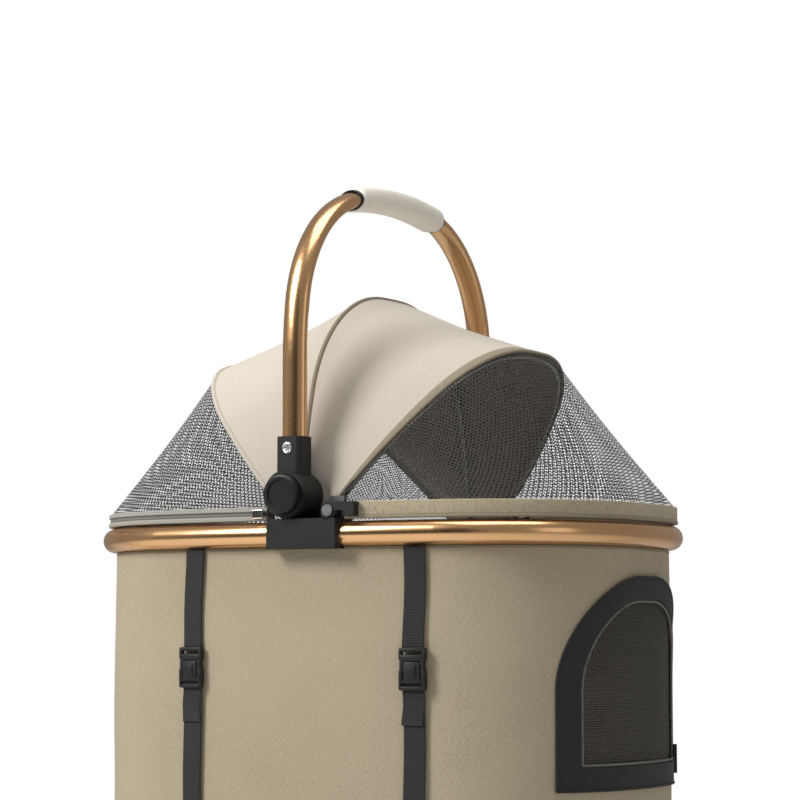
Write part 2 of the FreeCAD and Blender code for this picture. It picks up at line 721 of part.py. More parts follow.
def eye_link_x():
    """Limits of the link that joins the front bow's wire to its eye."""
    wire_x = FRONT_BOW_X + EYE_TOP / math.tan(math.radians(FRONT_BOW_TILT))
    return (wire_x - 8.0, wire_x + 6.0)


def post_web_x():
    """Limits of the web that stands the post on the saddle."""
    return (HUB_X - HUB_DISC_RADIUS + 3.0, HUB_X + HUB_DISC_RADIUS - 3.0)


def hub_keepout():
    """The room that both hubs and their sleeves keep clear of cloth."""
    reach = HUB_INNER_FACE - HUB_POST_THICKNESS - 1.5
    disc = cross_rod(HUB_X, HUB_Z, (-FOREVER, -reach), HUB_KEEPOUT_RADIUS)
    pivot_x = (eye_link_x()[0] - EYE_ROOM, CANOPY_PIVOT_X + LUG_RADIUS + EYE_ROOM)
    pivot_y = (-FOREVER, -HUB_INNER_FACE + EYE_THICKNESS + EYE_ROOM)
    pivot = box(pivot_x, pivot_y, (0, EYE_LINK_TOP + EYE_ROOM))
    web_x = (post_web_x()[0] - EYE_ROOM, post_web_x()[1] + EYE_ROOM)
    web = box(web_x, (-FOREVER, -reach), (0, HUB_Z))
    block = box(*bow_block(SKIN_GAP))
    pieces = [disc, pivot, web, block]
    return Part.Compound(pieces + [mirrored(piece) for piece in pieces])


def trimmed(cloth, foot):
    """Cloth cut off above its foot and round the hubs."""
    cloth = cloth.common(box((-FOREVER, FOREVER), (-FOREVER, FOREVER), (foot, FOREVER)))
    return cloth.cut(hub_keepout())


def mid_edge(shift):
    """Plane, oval and start height of the cloth at the middle bow."""
    return (mid_plane(shift), MID_BOW, CANOPY_FOOT - MID_BOW_BASE - 1.0)


def tilted_edge(x, tilt, shift, oval, foot):
    """Plane, oval and start height of the cloth at a tilted bow."""
    return (tilted_plane(x, tilt, shift), oval, (foot - 1.0) / math.sin(math.radians(tilt)))


def rim_edge(x, tilt, foot):
    """Plane, oval and start height of the mesh where it meets the rim's band or tape."""
    ahead = 1.0 if tilt < 90.0 else -1.0
    sheet = plane(Vector(0, 0, foot - 1.0), Vector(0, 1, 0), Vector(ahead, 0, 0))
    start = ahead * (x + foot / math.tan(math.radians(tilt)))
    oval = tuple(size + BAND_OUTER - 1.0 for size in rim_oval_turned())
    return (sheet, oval, start)


def canopy_front_fabric():
    front = tilted_edge(FRONT_BOW_X, FRONT_BOW_TILT, -BOW_SEAM_GAP, FRONT_BOW, CANOPY_FOOT)
    return trimmed(stretched(mid_edge(BOW_SEAM_GAP), front, CANOPY_THICKNESS), CANOPY_FOOT)


def canopy_rear_fabric():
    back = tilted_edge(REAR_BOW_X, REAR_BOW_TILT, BOW_SEAM_GAP, REAR_BOW, CANOPY_FOOT)
    return trimmed(stretched(mid_edge(-BOW_SEAM_GAP), back, CANOPY_THICKNESS), CANOPY_FOOT)


def canopy_front_mesh():
    foot = BAND_BASE + BAND_HEIGHT + SKIN_GAP
    top = tilted_edge(FRONT_BOW_X, FRONT_BOW_TILT, BOW_SEAM_GAP, FRONT_BOW, foot)
    return trimmed(stretched(top, rim_edge(FRONT_BOW_X, FRONT_BOW_TILT, foot), MESH_THICKNESS), foot)


def canopy_rear_mesh():
    foot = BAND_BASE + TAPE_HEIGHT + SKIN_GAP
    top = tilted_edge(REAR_BOW_X, REAR_BOW_TILT, -BOW_SEAM_GAP, REAR_BOW, foot)
    return trimmed(stretched(top, rim_edge(REAR_BOW_X, REAR_BOW_TILT, foot), MESH_THICKNESS), foot)


def bow_wire(sheet, oval, foot):
    """A spring-steel bow just inside the cloth, cut off above its foot."""
    wire = tube(half_oval(sheet, oval, -BOW_WIRE_INSET), BOW_WIRE_RADIUS)
    return wire.common(box((-FOREVER, FOREVER), (-FOREVER, FOREVER), (foot, FOREVER)))


def canopy_bow_mid():
    return bow_wire(mid_plane(0.0), MID_BOW, CANOPY_FOOT)


def canopy_bow_rear():
    return bow_wire(tilted_plane(REAR_BOW_X, REAR_BOW_TILT, 0.0), REAR_BOW, CANOPY_FOOT)


def canopy_bow_front():
    """The moving bow, with a flat eye on each end round the pivot screw."""
    wire = bow_wire(tilted_plane(FRONT_BOW_X, FRONT_BOW_TILT, 0.0), FRONT_BOW, EYE_TOP - 4.0)
    outer = -HUB_INNER_FACE + SKIN_GAP
    y = (outer, outer + EYE_THICKNESS)
    eye = pivot_bore(y, EYE_RADIUS)
    link = box(eye_link_x(), y, (EYE_LINK_BASE, EYE_LINK_TOP))
    eyes = [eye, link, mirrored(eye), mirrored(link)]
    bow = fused([wire] + eyes)
    return bow.cut(pivot_bore((-FOREVER, FOREVER), SCREW_RADIUS + RUNNING_CLEARANCE))


# ---- frame ----


def dock_feet():
    """Plastic feet under the carrier, each with a peg for its rail."""
    base = RIM_HEIGHT - BASKET_DEPTH
    seat = FRAME_HEIGHT + FRAME_TUBE_RADIUS + RAIL_THICKNESS
    feet = []
    for x in DOCK_X:
        for y in (-DOCK_Y, DOCK_Y):
            foot = rod(Vector(x, y, seat), Vector(x, y, base), FOOT_RADIUS)
            peg = rod(Vector(x, y, seat - PEG_LENGTH), Vector(x, y, seat), PEG_RADIUS)
            feet.append(fused([foot, peg]))
    return Part.Compound(feet)


def main_tube():
    """One side of the frame: front leg, long level run and rear upright in one bent tube."""
    y = -FRAME_HALF_WIDTH
    top = PUSH_HINGE_Z - HINGE_DROP
    lean = (PUSH_HINGE_X - FRAME_REAR_BEND_X) / (PUSH_HINGE_Z - FRAME_HEIGHT)
    foot = Vector(CASTER_X - 4.0, y, socket_z()[0] + SOCKET_HEIGHT / 2.0)
    front = Vector(FRAME_FRONT_BEND_X, y, FRAME_HEIGHT)
    rear = Vector(FRAME_REAR_BEND_X, y, FRAME_HEIGHT)
    end = Vector(FRAME_REAR_BEND_X + lean * (top - FRAME_HEIGHT), y, top)
    lower = bent_path([foot, front, Vector(0, y, FRAME_HEIGHT)], FRAME_FRONT_BEND)
    upper = bent_path([Vector(0, y, FRAME_HEIGHT), rear, end], FRAME_REAR_BEND)
    bar = tube(lower + upper, FRAME_TUBE_RADIUS)
    return bar.cut(caster_barrel())


def dock_rail(tubes):
    """Cross rail on top of the frame tubes, with a hole for each foot's peg."""
    z = (FRAME_HEIGHT, FRAME_HEIGHT + FRAME_TUBE_RADIUS + RAIL_THICKNESS)
    x = (-RAIL_LENGTH / 2.0, RAIL_LENGTH / 2.0)
    rail = box(x, (-RAIL_HALF_WIDTH, RAIL_HALF_WIDTH), z)
    belly = FRAME_HALF_WIDTH - FRAME_TUBE_RADIUS - 5.0
    rail = rail.cut(box(x, (-belly, belly), (z[0], z[0] + FRAME_TUBE_RADIUS)))
    rails = []
    for place in DOCK_X:
        copy = rail.copy()
        copy.translate(Vector(place, 0, 0))
        for y in (-DOCK_Y, DOCK_Y):
            seat = Vector(place, y, 0)
            copy = copy.cut(Part.makeCylinder(PEG_RADIUS + PEG_CLEARANCE, z[1] + 1.0, seat))
        for bar in tubes:
            copy = copy.cut(bar)
        rails.append(copy)
    return Part.Compound(rails)


def cross_tubes():
    reach = FRAME_HALF_WIDTH - FRAME_TUBE_RADIUS / 2.0
    bars = [cross_rod(x, FRAME_HEIGHT, (-reach, reach), CROSS_TUBE_RADIUS) for x in CROSS_TUBE_X]
    return bars


def socket_z():
    """Height of the caster socket's foot and top."""
    foot = 2.0 * FRONT_WHEEL_RADIUS + 5.0 + CROWN_THICKNESS + SKIN_GAP
    return (foot, foot + SOCKET_HEIGHT)


def caster_barrel():
    low, high = socket_z()
    y = -FRAME_HALF_WIDTH
    return rod(Vector(CASTER_X, y, low), Vector(CASTER_X, y, high), SOCKET_RADIUS)


def caster_socket():
    low, high = socket_z()
    y = -FRAME_HALF_WIDTH
    depth = high - 8.0
    bore = rod(Vector(CASTER_X, y, low), Vector(CASTER_X, y, depth), STEM_RADIUS + RUNNING_CLEARANCE)
    return caster_barrel().cut(bore)


def leg_hub():
    """Housing on the frame tube with the stud that the rear leg turns on."""
    y = -FRAME_HALF_WIDTH
    half = KNUCKLE_RADIUS + 4.0
    z = (FRAME_HEIGHT - KNUCKLE_RADIUS, FRAME_HEIGHT + FRAME_TUBE_RADIUS - 1.0)
    block = box((LEG_PIVOT_X - half, LEG_PIVOT_X + half), (y - 17.0, y), z)
    stud_y = (-LEG_HALF_WIDTH - LEG_TUBE_RADIUS, y - 17.0)
    stud = cross_rod(LEG_PIVOT_X, FRAME_HEIGHT, stud_y, STUD_RADIUS)
    return fused([block, stud])


def push_hinge():
    """Fork on top of the frame's upright, with two cheeks round the push bar's knuckle."""
    y = -FRAME_HALF_WIDTH
    half_gap = HINGE_RADIUS / 2.0 + 1.5
    cheeks = []
    for side in (-1.0, 1.0):
        face = y + side * half_gap
        span = (min(face, face + side * HINGE_CHEEK), max(face, face + side * HINGE_CHEEK))
        cheek = cross_rod(PUSH_HINGE_X, PUSH_HINGE_Z, span, HINGE_RADIUS)
        skirt_x = (PUSH_HINGE_X - HINGE_RADIUS + 2.0, PUSH_HINGE_X + HINGE_RADIUS - 2.0)
        skirt = box(skirt_x, span, (PUSH_HINGE_Z - HINGE_DROP - 10.0, PUSH_HINGE_Z))
        cheeks += [cheek, skirt]
    span = (y - half_gap - HINGE_CHEEK, y + half_gap + HINGE_CHEEK)
    foot_z = (PUSH_HINGE_Z - HINGE_DROP - 10.0, PUSH_HINGE_Z - HINGE_DROP)
    foot = box((PUSH_HINGE_X - HINGE_RADIUS + 2.0, PUSH_HINGE_X + HINGE_RADIUS - 2.0), span, foot_z)
    return fused(cheeks + [foot])


def push_hinge_pin():
    half = HINGE_RADIUS / 2.0 + 1.5 + HINGE_CHEEK
    y = -FRAME_HALF_WIDTH
    return cross_rod(PUSH_HINGE_X, PUSH_HINGE_Z, (y - half, y + half), HINGE_PIN_RADIUS)


def push_bar():
    """One bent tube from hinge to hinge, with a flat-sided knuckle on each end."""
    y = -FRAME_HALF_WIDTH
    low = Vector(PUSH_HINGE_X, y, PUSH_HINGE_Z)
    high = Vector(PUSH_TOP_X, y, PUSH_TOP_Z)
    path = [low, high, Vector(high.x, -y, high.z), Vector(low.x, -y, low.z)]
    bar = tube(bent_path(path, PUSH_BEND), PUSH_TUBE_RADIUS)
    half = HINGE_RADIUS / 2.0 + 1.0
    knuckle = cross_rod(PUSH_HINGE_X, PUSH_HINGE_Z, (y - half, y + half), HINGE_RADIUS - 1.0)
    for span in ((y - FRAME_TUBE_RADIUS * 2.0, y - half), (y + half, y + FRAME_TUBE_RADIUS * 2.0)):
        shoulder = cross_rod(PUSH_HINGE_X, PUSH_HINGE_Z, span, HINGE_RADIUS + KNUCKLE_CUT)
        bar = bar.cut(shoulder).cut(mirrored(shoulder))
    bar = fused([bar, knuckle, mirrored(knuckle)])
    bore = HINGE_PIN_RADIUS + RUNNING_CLEARANCE
    return bar.cut(cross_rod(PUSH_HINGE_X, PUSH_HINGE_Z, (-FOREVER, FOREVER), bore))


def push_grip():
    y = (-PUSH_GRIP_HALF_LENGTH, PUSH_GRIP_HALF_LENGTH)
    grip = cross_rod(PUSH_TOP_X, PUSH_TOP_Z, y, PUSH_GRIP_RADIUS)
    grip = grip.makeFillet(4.0, [edge for edge in grip.Edges if edge.Curve.TypeId == "Part::GeomCircle"])
    return grip.cut(cross_rod(PUSH_TOP_X, PUSH_TOP_Z, (-FOREVER, FOREVER), PUSH_TUBE_RADIUS))


def storage_basket():
    y = (-STORE_HALF_WIDTH, STORE_HALF_WIDTH)
    tub = box(STORE_X, y, STORE_Z)
    upright = [edge for edge in tub.Edges if abs(edge.tangentAt(0).z) > 0.9]
    tub = tub.makeFillet(30.0, upright)
    hollow_x = (STORE_X[0] + STORE_WALL, STORE_X[1] - STORE_WALL)
    hollow = box(hollow_x, (y[0] + STORE_WALL, y[1] - STORE_WALL), (STORE_Z[0] + STORE_WALL, FOREVER))
    upright = [edge for edge in hollow.Edges if abs(edge.tangentAt(0).z) > 0.9]
    return tub.cut(hollow.makeFillet(30.0 - STORE_WALL, upright))


def basket_clips():
    """Rings round the frame tubes, each with a tab on the storage basket's side."""
    y = -FRAME_HALF_WIDTH
    clips = []
    for x in CLIP_X:
        start = Vector(x - CLIP_HALF_LENGTH, y, FRAME_HEIGHT)
        end = Vector(x + CLIP_HALF_LENGTH, y, FRAME_HEIGHT)
        ring = rod(start, end, FRAME_TUBE_RADIUS + CLIP_WALL)
        tab_y = (-STORE_HALF_WIDTH - CLIP_WALL, -STORE_HALF_WIDTH)
        tab_z = (STORE_Z[1] - 20.0, FRAME_HEIGHT - FRAME_TUBE_RADIUS / 2.0)
        tab = box((start.x, end.x), tab_y, tab_z)
        clips.append(fused([ring, tab]).cut(rod(start, end, FRAME_TUBE_RADIUS)))
    return on_both_sides(clips)


# ---- wheels ----


def wheel_tyre(x, y, radius, width):
    """Round-shouldered tyre about an axle along Y."""
    tyre = cross_rod(x, radius, (y - width / 2.0, y + width / 2.0), radius)
    shoulders = [edge for edge in tyre.Edges if edge.Curve.TypeId == "Part::GeomCircle"]
    tyre = tyre.makeFillet(width / 3.0, shoulders)
    return tyre.cut(cross_rod(x, radius, (y - width, y + width), radius - TYRE_DEPTH))


def wheel_rim(x, y, radius, width, axle_radius):
    """Moulded wheel: hub, five spokes and ring."""
    outer = radius - TYRE_DEPTH
    inner = outer - RIM_RING_DEPTH
    half = width / 2.0
    ring = cross_rod(x, radius, (y - half + 2.0, y + half - 2.0), outer)
    ring = ring.cut(cross_rod(x, radius, (y - half, y + half), inner))
    hub = cross_rod(x, radius, (y - half, y + half), axle_radius + 8.0)
    spoke_y = (y - half / 2.0, y + half / 2.0)
    pieces = [ring, hub]
    for number in range(SPOKES):
        spoke = box((x - SPOKE_WIDTH / 2.0, x + SPOKE_WIDTH / 2.0), spoke_y, (radius, radius + inner + 2.0))
        spoke.rotate(Vector(x, y, radius), Vector(0, 1, 0), 360.0 * number / SPOKES)
        pieces.append(spoke)
    bore = cross_rod(x, radius, (y - width, y + width), axle_radius + RUNNING_CLEARANCE)
    return fused(pieces).cut(bore)


def caster_fork():
    """Trailing fork: stem, crown and two cheeks down to the wheel's axle."""
    y = -FRAME_HALF_WIDTH
    low = socket_z()[0]
    crown_top = low - SKIN_GAP
    stem = rod(Vector(CASTER_X, y, crown_top), Vector(CASTER_X, y, socket_z()[1] - 9.0), STEM_RADIUS)
    crown_base = crown_top - CROWN_THICKNESS
    crown = rod(Vector(CASTER_X, y, crown_base), Vector(CASTER_X, y, crown_top), CROWN_RADIUS)
    inner = FRONT_WHEEL_WIDTH / 2.0 + FORK_GAP
    axle_x = CASTER_X - CASTER_TRAIL
    crown_x = (CASTER_X - CROWN_BACK, CASTER_X + CROWN_FRONT)
    pieces = [stem, crown]
    for side in (-1.0, 1.0):
        near = y + side * inner
        span = (min(near, near + side * FORK_THICKNESS), max(near, near + side * FORK_THICKNESS))
        top = crown_top - CROWN_THICKNESS / 2.0
        corners = [
            Vector(crown_x[0], span[0], crown_top),
            Vector(crown_x[1], span[0], crown_top),
            Vector(axle_x + CHEEK_HALF_FOOT, span[0], FRONT_WHEEL_RADIUS - CHEEK_SLANT),
            Vector(axle_x - CHEEK_HALF_FOOT, span[0], FRONT_WHEEL_RADIUS + CHEEK_SLANT),
        ]
        cheek = Part.Face(Part.makePolygon(corners + corners[:1])).extrude(Vector(0, span[1] - span[0], 0))
        boss = cross_rod(axle_x, FRONT_WHEEL_RADIUS, span, FORK_BOSS_RADIUS)
        bridge = box(crown_x, span, (top, crown_top))
        pieces += [cheek, boss, bridge]
    reach = inner + FORK_THICKNESS
    plate = box(crown_x, (y - reach, y + reach), (top, crown_top))
    fork = fused(pieces + [plate])
    bore = cross_rod(axle_x, FRONT_WHEEL_RADIUS, (-FOREVER, 0), FRONT_AXLE_RADIUS)
    return fork.cut(bore)


def front_axle():
    half = FRONT_WHEEL_WIDTH / 2.0 + FORK_GAP + FORK_THICKNESS
    y = -FRAME_HALF_WIDTH
    return cross_rod(CASTER_X - CASTER_TRAIL, FRONT_WHEEL_RADIUS, (y - half, y + half), FRONT_AXLE_RADIUS)


def rear_leg():
    """Leg tube with a knuckle on the frame's stud and a boss on the axle."""
    y = -LEG_HALF_WIDTH
    top = Vector(LEG_PIVOT_X, y, FRAME_HEIGHT)
    foot = Vector(REAR_AXLE_X, y, REAR_WHEEL_RADIUS)
    span = (y - LEG_TUBE_RADIUS + 0.6, y + LEG_TUBE_RADIUS - 0.6)
    knuckle = cross_rod(top.x, top.z, span, KNUCKLE_RADIUS)
    boss = cross_rod(foot.x, foot.z, span, AXLE_BOSS_RADIUS)
    leg = fused([rod(top, foot, LEG_TUBE_RADIUS), knuckle, boss])
    leg = leg.common(box((-FOREVER, FOREVER), span, (0, FOREVER)))
    leg = leg.cut(cross_rod(top.x, top.z, (-FOREVER, 0), STUD_RADIUS + RUNNING_CLEARANCE))
    return leg.cut(cross_rod(foot.x, foot.z, (-FOREVER, 0), REAR_AXLE_RADIUS))


def rear_axle():
    half = REAR_WHEEL_Y + REAR_WHEEL_WIDTH / 2.0 + 3.0
    return cross_rod(REAR_AXLE_X, REAR_WHEEL_RADIUS, (-half, half), REAR_AXLE_RADIUS)


def brake_pedal():
    """Foot pedal that turns on the rear axle."""
    hub = cross_rod(REAR_AXLE_X, REAR_WHEEL_RADIUS, (-PEDAL_HALF_WIDTH, PEDAL_HALF_WIDTH), PEDAL_HUB_RADIUS)
    half = PEDAL_THICKNESS / 2.0
    x = (REAR_AXLE_X - PEDAL_LENGTH, REAR_AXLE_X)
    z = (REAR_WHEEL_RADIUS - half, REAR_WHEEL_RADIUS + half)
    plate = box(x, (-PEDAL_HALF_WIDTH, PEDAL_HALF_WIDTH), z)
    plate = plate.makeFillet(2.0, [edge for edge in plate.Edges if edge.valueAt(0).x < x[0] + 1.0])
    plate.rotate(Vector(REAR_AXLE_X, 0, REAR_WHEEL_RADIUS), Vector(0, 1, 0), PEDAL_LIFT)
    pedal = fused([hub, plate])
    bore_radius = REAR_AXLE_RADIUS + RUNNING_CLEARANCE
    bore = cross_rod(REAR_AXLE_X, REAR_WHEEL_RADIUS, (-FOREVER, FOREVER), bore_radius)
    return pedal.cut(bore)


# ---- assembly ----


def raised(shape):
    """A carrier piece, lifted from the rim's own frame to its height over the floor."""
    lifted = shape.copy()
    lifted.translate(Vector(0, 0, RIM_HEIGHT))
    return lifted


def carrier_nodes():
    bar = bail_bar()
    saddle = hub_saddle()
    socket = bail_socket(bar)
    button = hub_button()
    screw = bail_screw()
    nodes = {
        "rim_tube": rim_tube(),
        "basket_fabric": basket_fabric(),
        "base_board": base_board(),
        "cushion": cushion(),
        "front_window_mesh": front_window_mesh(),
        "front_window_binding": front_window_binding(),
        "window_zip_pull": window_zip_pull(),
        "side_straps": side_straps(),
        "buckle_plugs": buckle_plugs(),
        "buckle_sockets": buckle_sockets(),
        "zip_tape": zip_tape(),
        "zip_slider": zip_slider(),
        "hem_band": hem_band(),
        "hem_arms": hem_arms(),
        "canopy_pivot_screws": canopy_pivot_screws(),
        "hub_saddle_right": saddle,
        "hub_saddle_left": mirrored(saddle),
        "bail_tube": bar,
        "bail_grip": bail_grip(bar),
        "bail_grip_collars": bail_grip_collars(bar),
        "bail_socket_right": socket,
        "bail_socket_left": mirrored(socket),
        "bail_screws": Part.Compound([screw, mirrored(screw)]),
        "hub_button_right": button,
        "hub_button_left": mirrored(button),
        "canopy_bow_rear": canopy_bow_rear(),
        "canopy_bow_mid": canopy_bow_mid(),
        "canopy_bow_front": canopy_bow_front(),
        "canopy_rear_fabric": canopy_rear_fabric(),
        "canopy_front_fabric": canopy_front_fabric(),
        "canopy_rear_mesh": canopy_rear_mesh(),
        "canopy_front_mesh": canopy_front_mesh(),
    }
    return {name: raised(shape) for name, shape in nodes.items()}


def frame_nodes():
    right = main_tube()
    tubes = [right, mirrored(right)]
    bars = [bar.cut(tubes[0]).cut(tubes[1]) for bar in cross_tubes()]
    hub = leg_hub().cut(right)
    hinge = push_hinge().cut(right).cut(push_hinge_pin())
    leg = rear_leg()
    front_x = CASTER_X - CASTER_TRAIL
    front = (front_x, -FRAME_HALF_WIDTH, FRONT_WHEEL_RADIUS, FRONT_WHEEL_WIDTH)
    rear = (REAR_AXLE_X, -REAR_WHEEL_Y, REAR_WHEEL_RADIUS, REAR_WHEEL_WIDTH)
    nodes = {
        "main_tube_right": right,
        "main_tube_left": mirrored(right),
        "cross_tubes": Part.Compound(bars),
        "dock_rails": dock_rail(tubes),
        "dock_feet": dock_feet(),
        "caster_sockets": Part.Compound([caster_socket(), mirrored(caster_socket())]),
        "leg_hubs": Part.Compound([hub, mirrored(hub)]),
        "push_hinges": Part.Compound([hinge, mirrored(hinge)]),
        "push_hinge_pins": Part.Compound([push_hinge_pin(), mirrored(push_hinge_pin())]),
        "push_bar": push_bar(),
        "push_grip": push_grip(),
        "storage_basket": storage_basket(),
        "basket_clips": basket_clips(),
        "rear_legs": Part.Compound([leg, mirrored(leg)]),
        "rear_axle": rear_axle(),
        "brake_pedal": brake_pedal(),
    }
    pairs = {
        "caster_fork": caster_fork(),
        "front_axle": front_axle(),
        "front_tyre": wheel_tyre(*front),
        "front_wheel": wheel_rim(*front, FRONT_AXLE_RADIUS),
        "rear_tyre": wheel_tyre(*rear),
        "rear_wheel": wheel_rim(*rear, REAR_AXLE_RADIUS),
    }
    for name, shape in pairs.items():
        nodes[name + "_right"] = shape
        nodes[name + "_left"] = mirrored(shape)
    return nodes


def main():
    os.makedirs("parts", exist_ok=True)
    nodes = carrier_nodes()
    nodes.update(frame_nodes())
    for name, shape in nodes.items():
        placed = shape.copy()
        placed.translate(Vector(-CENTRE_X, 0, 0))
        placed.exportStep("parts/" + name + ".step")
        print(name, len(placed.Solids), placed.isValid(), round(placed.Volume))


if __name__ == "__main__":
    main()
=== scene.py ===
import math

import bpy
from mathutils import Matrix, Vector, noise


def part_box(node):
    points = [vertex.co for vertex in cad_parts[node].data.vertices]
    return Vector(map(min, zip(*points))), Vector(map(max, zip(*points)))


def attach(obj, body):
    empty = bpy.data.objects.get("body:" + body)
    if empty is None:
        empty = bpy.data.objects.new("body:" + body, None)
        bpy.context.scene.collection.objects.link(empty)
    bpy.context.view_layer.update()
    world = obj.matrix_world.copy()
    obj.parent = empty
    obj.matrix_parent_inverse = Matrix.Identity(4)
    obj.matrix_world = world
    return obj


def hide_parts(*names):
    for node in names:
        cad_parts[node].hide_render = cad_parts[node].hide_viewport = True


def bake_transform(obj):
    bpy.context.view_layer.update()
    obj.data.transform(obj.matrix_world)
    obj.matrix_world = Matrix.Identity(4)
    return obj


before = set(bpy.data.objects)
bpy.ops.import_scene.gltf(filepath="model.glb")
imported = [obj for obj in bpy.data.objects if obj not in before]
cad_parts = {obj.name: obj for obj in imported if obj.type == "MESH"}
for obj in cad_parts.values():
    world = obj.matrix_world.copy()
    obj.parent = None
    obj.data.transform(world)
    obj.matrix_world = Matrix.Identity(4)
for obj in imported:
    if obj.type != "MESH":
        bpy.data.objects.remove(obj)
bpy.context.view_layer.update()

MM = 0.001


# ---- places, read from the frame

def middle(node):
    """Centre of a CAD node's box."""
    low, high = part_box(node)
    return (Vector(low) + Vector(high)) / 2


RIM = middle("rim_tube")
RIM_LOW, RIM_HIGH = (Vector(corner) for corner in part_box("rim_tube"))
TUBE_RADIUS = (RIM_HIGH.z - RIM_LOW.z) / 2
HALF_LENGTH = (RIM_HIGH.x - RIM_LOW.x) / 2 - TUBE_RADIUS
HALF_WIDTH = (RIM_HIGH.y - RIM_LOW.y) / 2 - TUBE_RADIUS
BASKET_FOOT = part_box("basket_fabric")[0][2] - RIM.z
HUB = middle("hub_button_right") - RIM
BAND_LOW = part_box("hem_band")[0][2] - RIM.z
BAND_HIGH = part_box("hem_band")[1][2] - RIM.z
TAPE_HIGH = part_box("zip_tape")[1][2] - RIM.z


def place(x, y, z):
    """A point given in millimetres from the middle of the rim."""
    return RIM + Vector((x, y, z)) * MM


# ---- ovals of three radii

class Oval:
    """A closed curve of side, corner and top arcs, followed by the direction of its outward normal."""

    def __init__(self, half_width, rise, top_radius, side_radius, corner_radius):
        self.radii = (side_radius, corner_radius, top_radius)
        top = Vector((0, rise - top_radius))
        side = Vector((half_width - side_radius, 0))
        link = side - top
        reach_top = top_radius - corner_radius
        reach_side = side_radius - corner_radius
        along = (reach_top**2 - reach_side**2 + link.length_squared) / (2 * link.length)
        out = math.sqrt(reach_top**2 - along**2)
        step = link.normalized()
        corner = top + step * along + Vector((-step.y, step.x)) * out
        if corner.x < 0 or corner.y < 0:
            corner = top + step * along - Vector((-step.y, step.x)) * out
        self.centres = (side, corner, top)
        first = math.atan2(corner.y - side.y, corner.x - side.x)
        second = math.atan2(corner.y - top.y, corner.x - top.x)
        self.turns = (first, second)

    def at(self, angle, grow=0.0):
        """The point whose outward normal points along angle, moved outward by grow."""
        across = math.cos(angle)
        up = math.sin(angle)
        steep = math.atan2(abs(up), abs(across))
        part = 0 if steep < self.turns[0] else 1 if steep < self.turns[1] else 2
        radius = self.radii[part] + grow
        centre = self.centres[part]
        u = centre.x + radius * math.cos(steep)
        v = centre.y + radius * math.sin(steep)
        return Vector((math.copysign(u, across), math.copysign(v, up)))

    def even_angles(self, first, last, count):
        """Angles from first to last at even steps along the curve."""
        fine = 1440
        steps = [first + (last - first) * i / fine for i in range(fine + 1)]
        points = [self.at(angle) for angle in steps]
        walked = [0.0]
        for before, after in zip(points, points[1:]):
            walked.append(walked[-1] + (after - before).length)
        angles = []
        i = 0
        for n in range(count + 1):
            goal = walked[-1] * n / count
            while i < fine - 1 and walked[i + 1] < goal:
                i += 1
            span = walked[i + 1] - walked[i] or 1.0
            share = min(max((goal - walked[i]) / span, 0.0), 1.0)
            angles.append(steps[i] + (steps[i + 1] - steps[i]) * share)
        return angles, walked[-1]

    def side_angle(self, height):
        """Normal angle of the point on the side arc at a height."""
        return math.asin(height / self.radii[0])


RIM_OVAL = Oval(HALF_LENGTH, HALF_WIDTH, 1.050, 0.380, 0.140)
MID_BOW = Oval(0.155, 0.215, 0.700, 0.450, 0.128)
FRONT_BOW = Oval(0.160, 0.2210, 1.100, 0.320, 0.117)
REAR_BOW = Oval(0.160, 0.2320, 0.820, 0.480, 0.131)
BOW_FEET = {"mid": (3, 12, 90), "front": (15, 0, 50), "rear": (5, 0, 133)}
HUB_REACH = 0.1525
PERIMETER_STEPS = 256


def bow_point(kind, oval, angle, grow=0.0):
    """A point of a canopy bow, in the bow's own tilted plane."""
    x, z, tilt = BOW_FEET[kind]
    flat = oval.at(angle, grow)
    turn = math.radians(tilt)
    return place(x, 0, z) + Vector((math.cos(turn) * flat.y, flat.x, math.sin(turn) * flat.y))


def rim_point(angle, grow, height):
    """A point that follows the rim's plan, grown outward, at a height over the rim's middle."""
    flat = RIM_OVAL.at(angle, grow)
    return RIM + Vector((flat.x, flat.y, height))


# ---- shader sockets as numbers

class Wire:
    """A value socket that adds Math nodes when it is used in an expression."""

    def __init__(self, tree, socket):
        self.tree = tree
        self.socket = socket

    def math(self, operation, *others):
        node = self.tree.nodes.new("ShaderNodeMath")
        node.operation = operation
        for slot, value in zip(node.inputs, (self, *others)):
            if isinstance(value, Wire):
                self.tree.links.new(value.socket, slot)
            else:
                slot.default_value = value
        return Wire(self.tree, node.outputs[0])

    def __add__(self, other):
        return self.math("ADD", other)

    __radd__ = __add__

    def __mul__(self, other):
        return self.math("MULTIPLY", other)

    __rmul__ = __mul__

    def __sub__(self, other):
        return self.math("SUBTRACT", other)

    def __rsub__(self, other):
        return self * -1.0 + other

    def __truediv__(self, other):
        return self.math("DIVIDE", other)

    def power(self, other):
        return self.math("POWER", other)

    def fract(self):
        return self.math("FRACT")

    def sine(self):
        return self.math("SINE")

    def size(self):
        return self.math("ABSOLUTE")

    def above(self, other):
        return self.math("GREATER_THAN", other)

    def least(self, other):
        return self.math("MINIMUM", other)

    def most(self, other):
        return self.math("MAXIMUM", other)


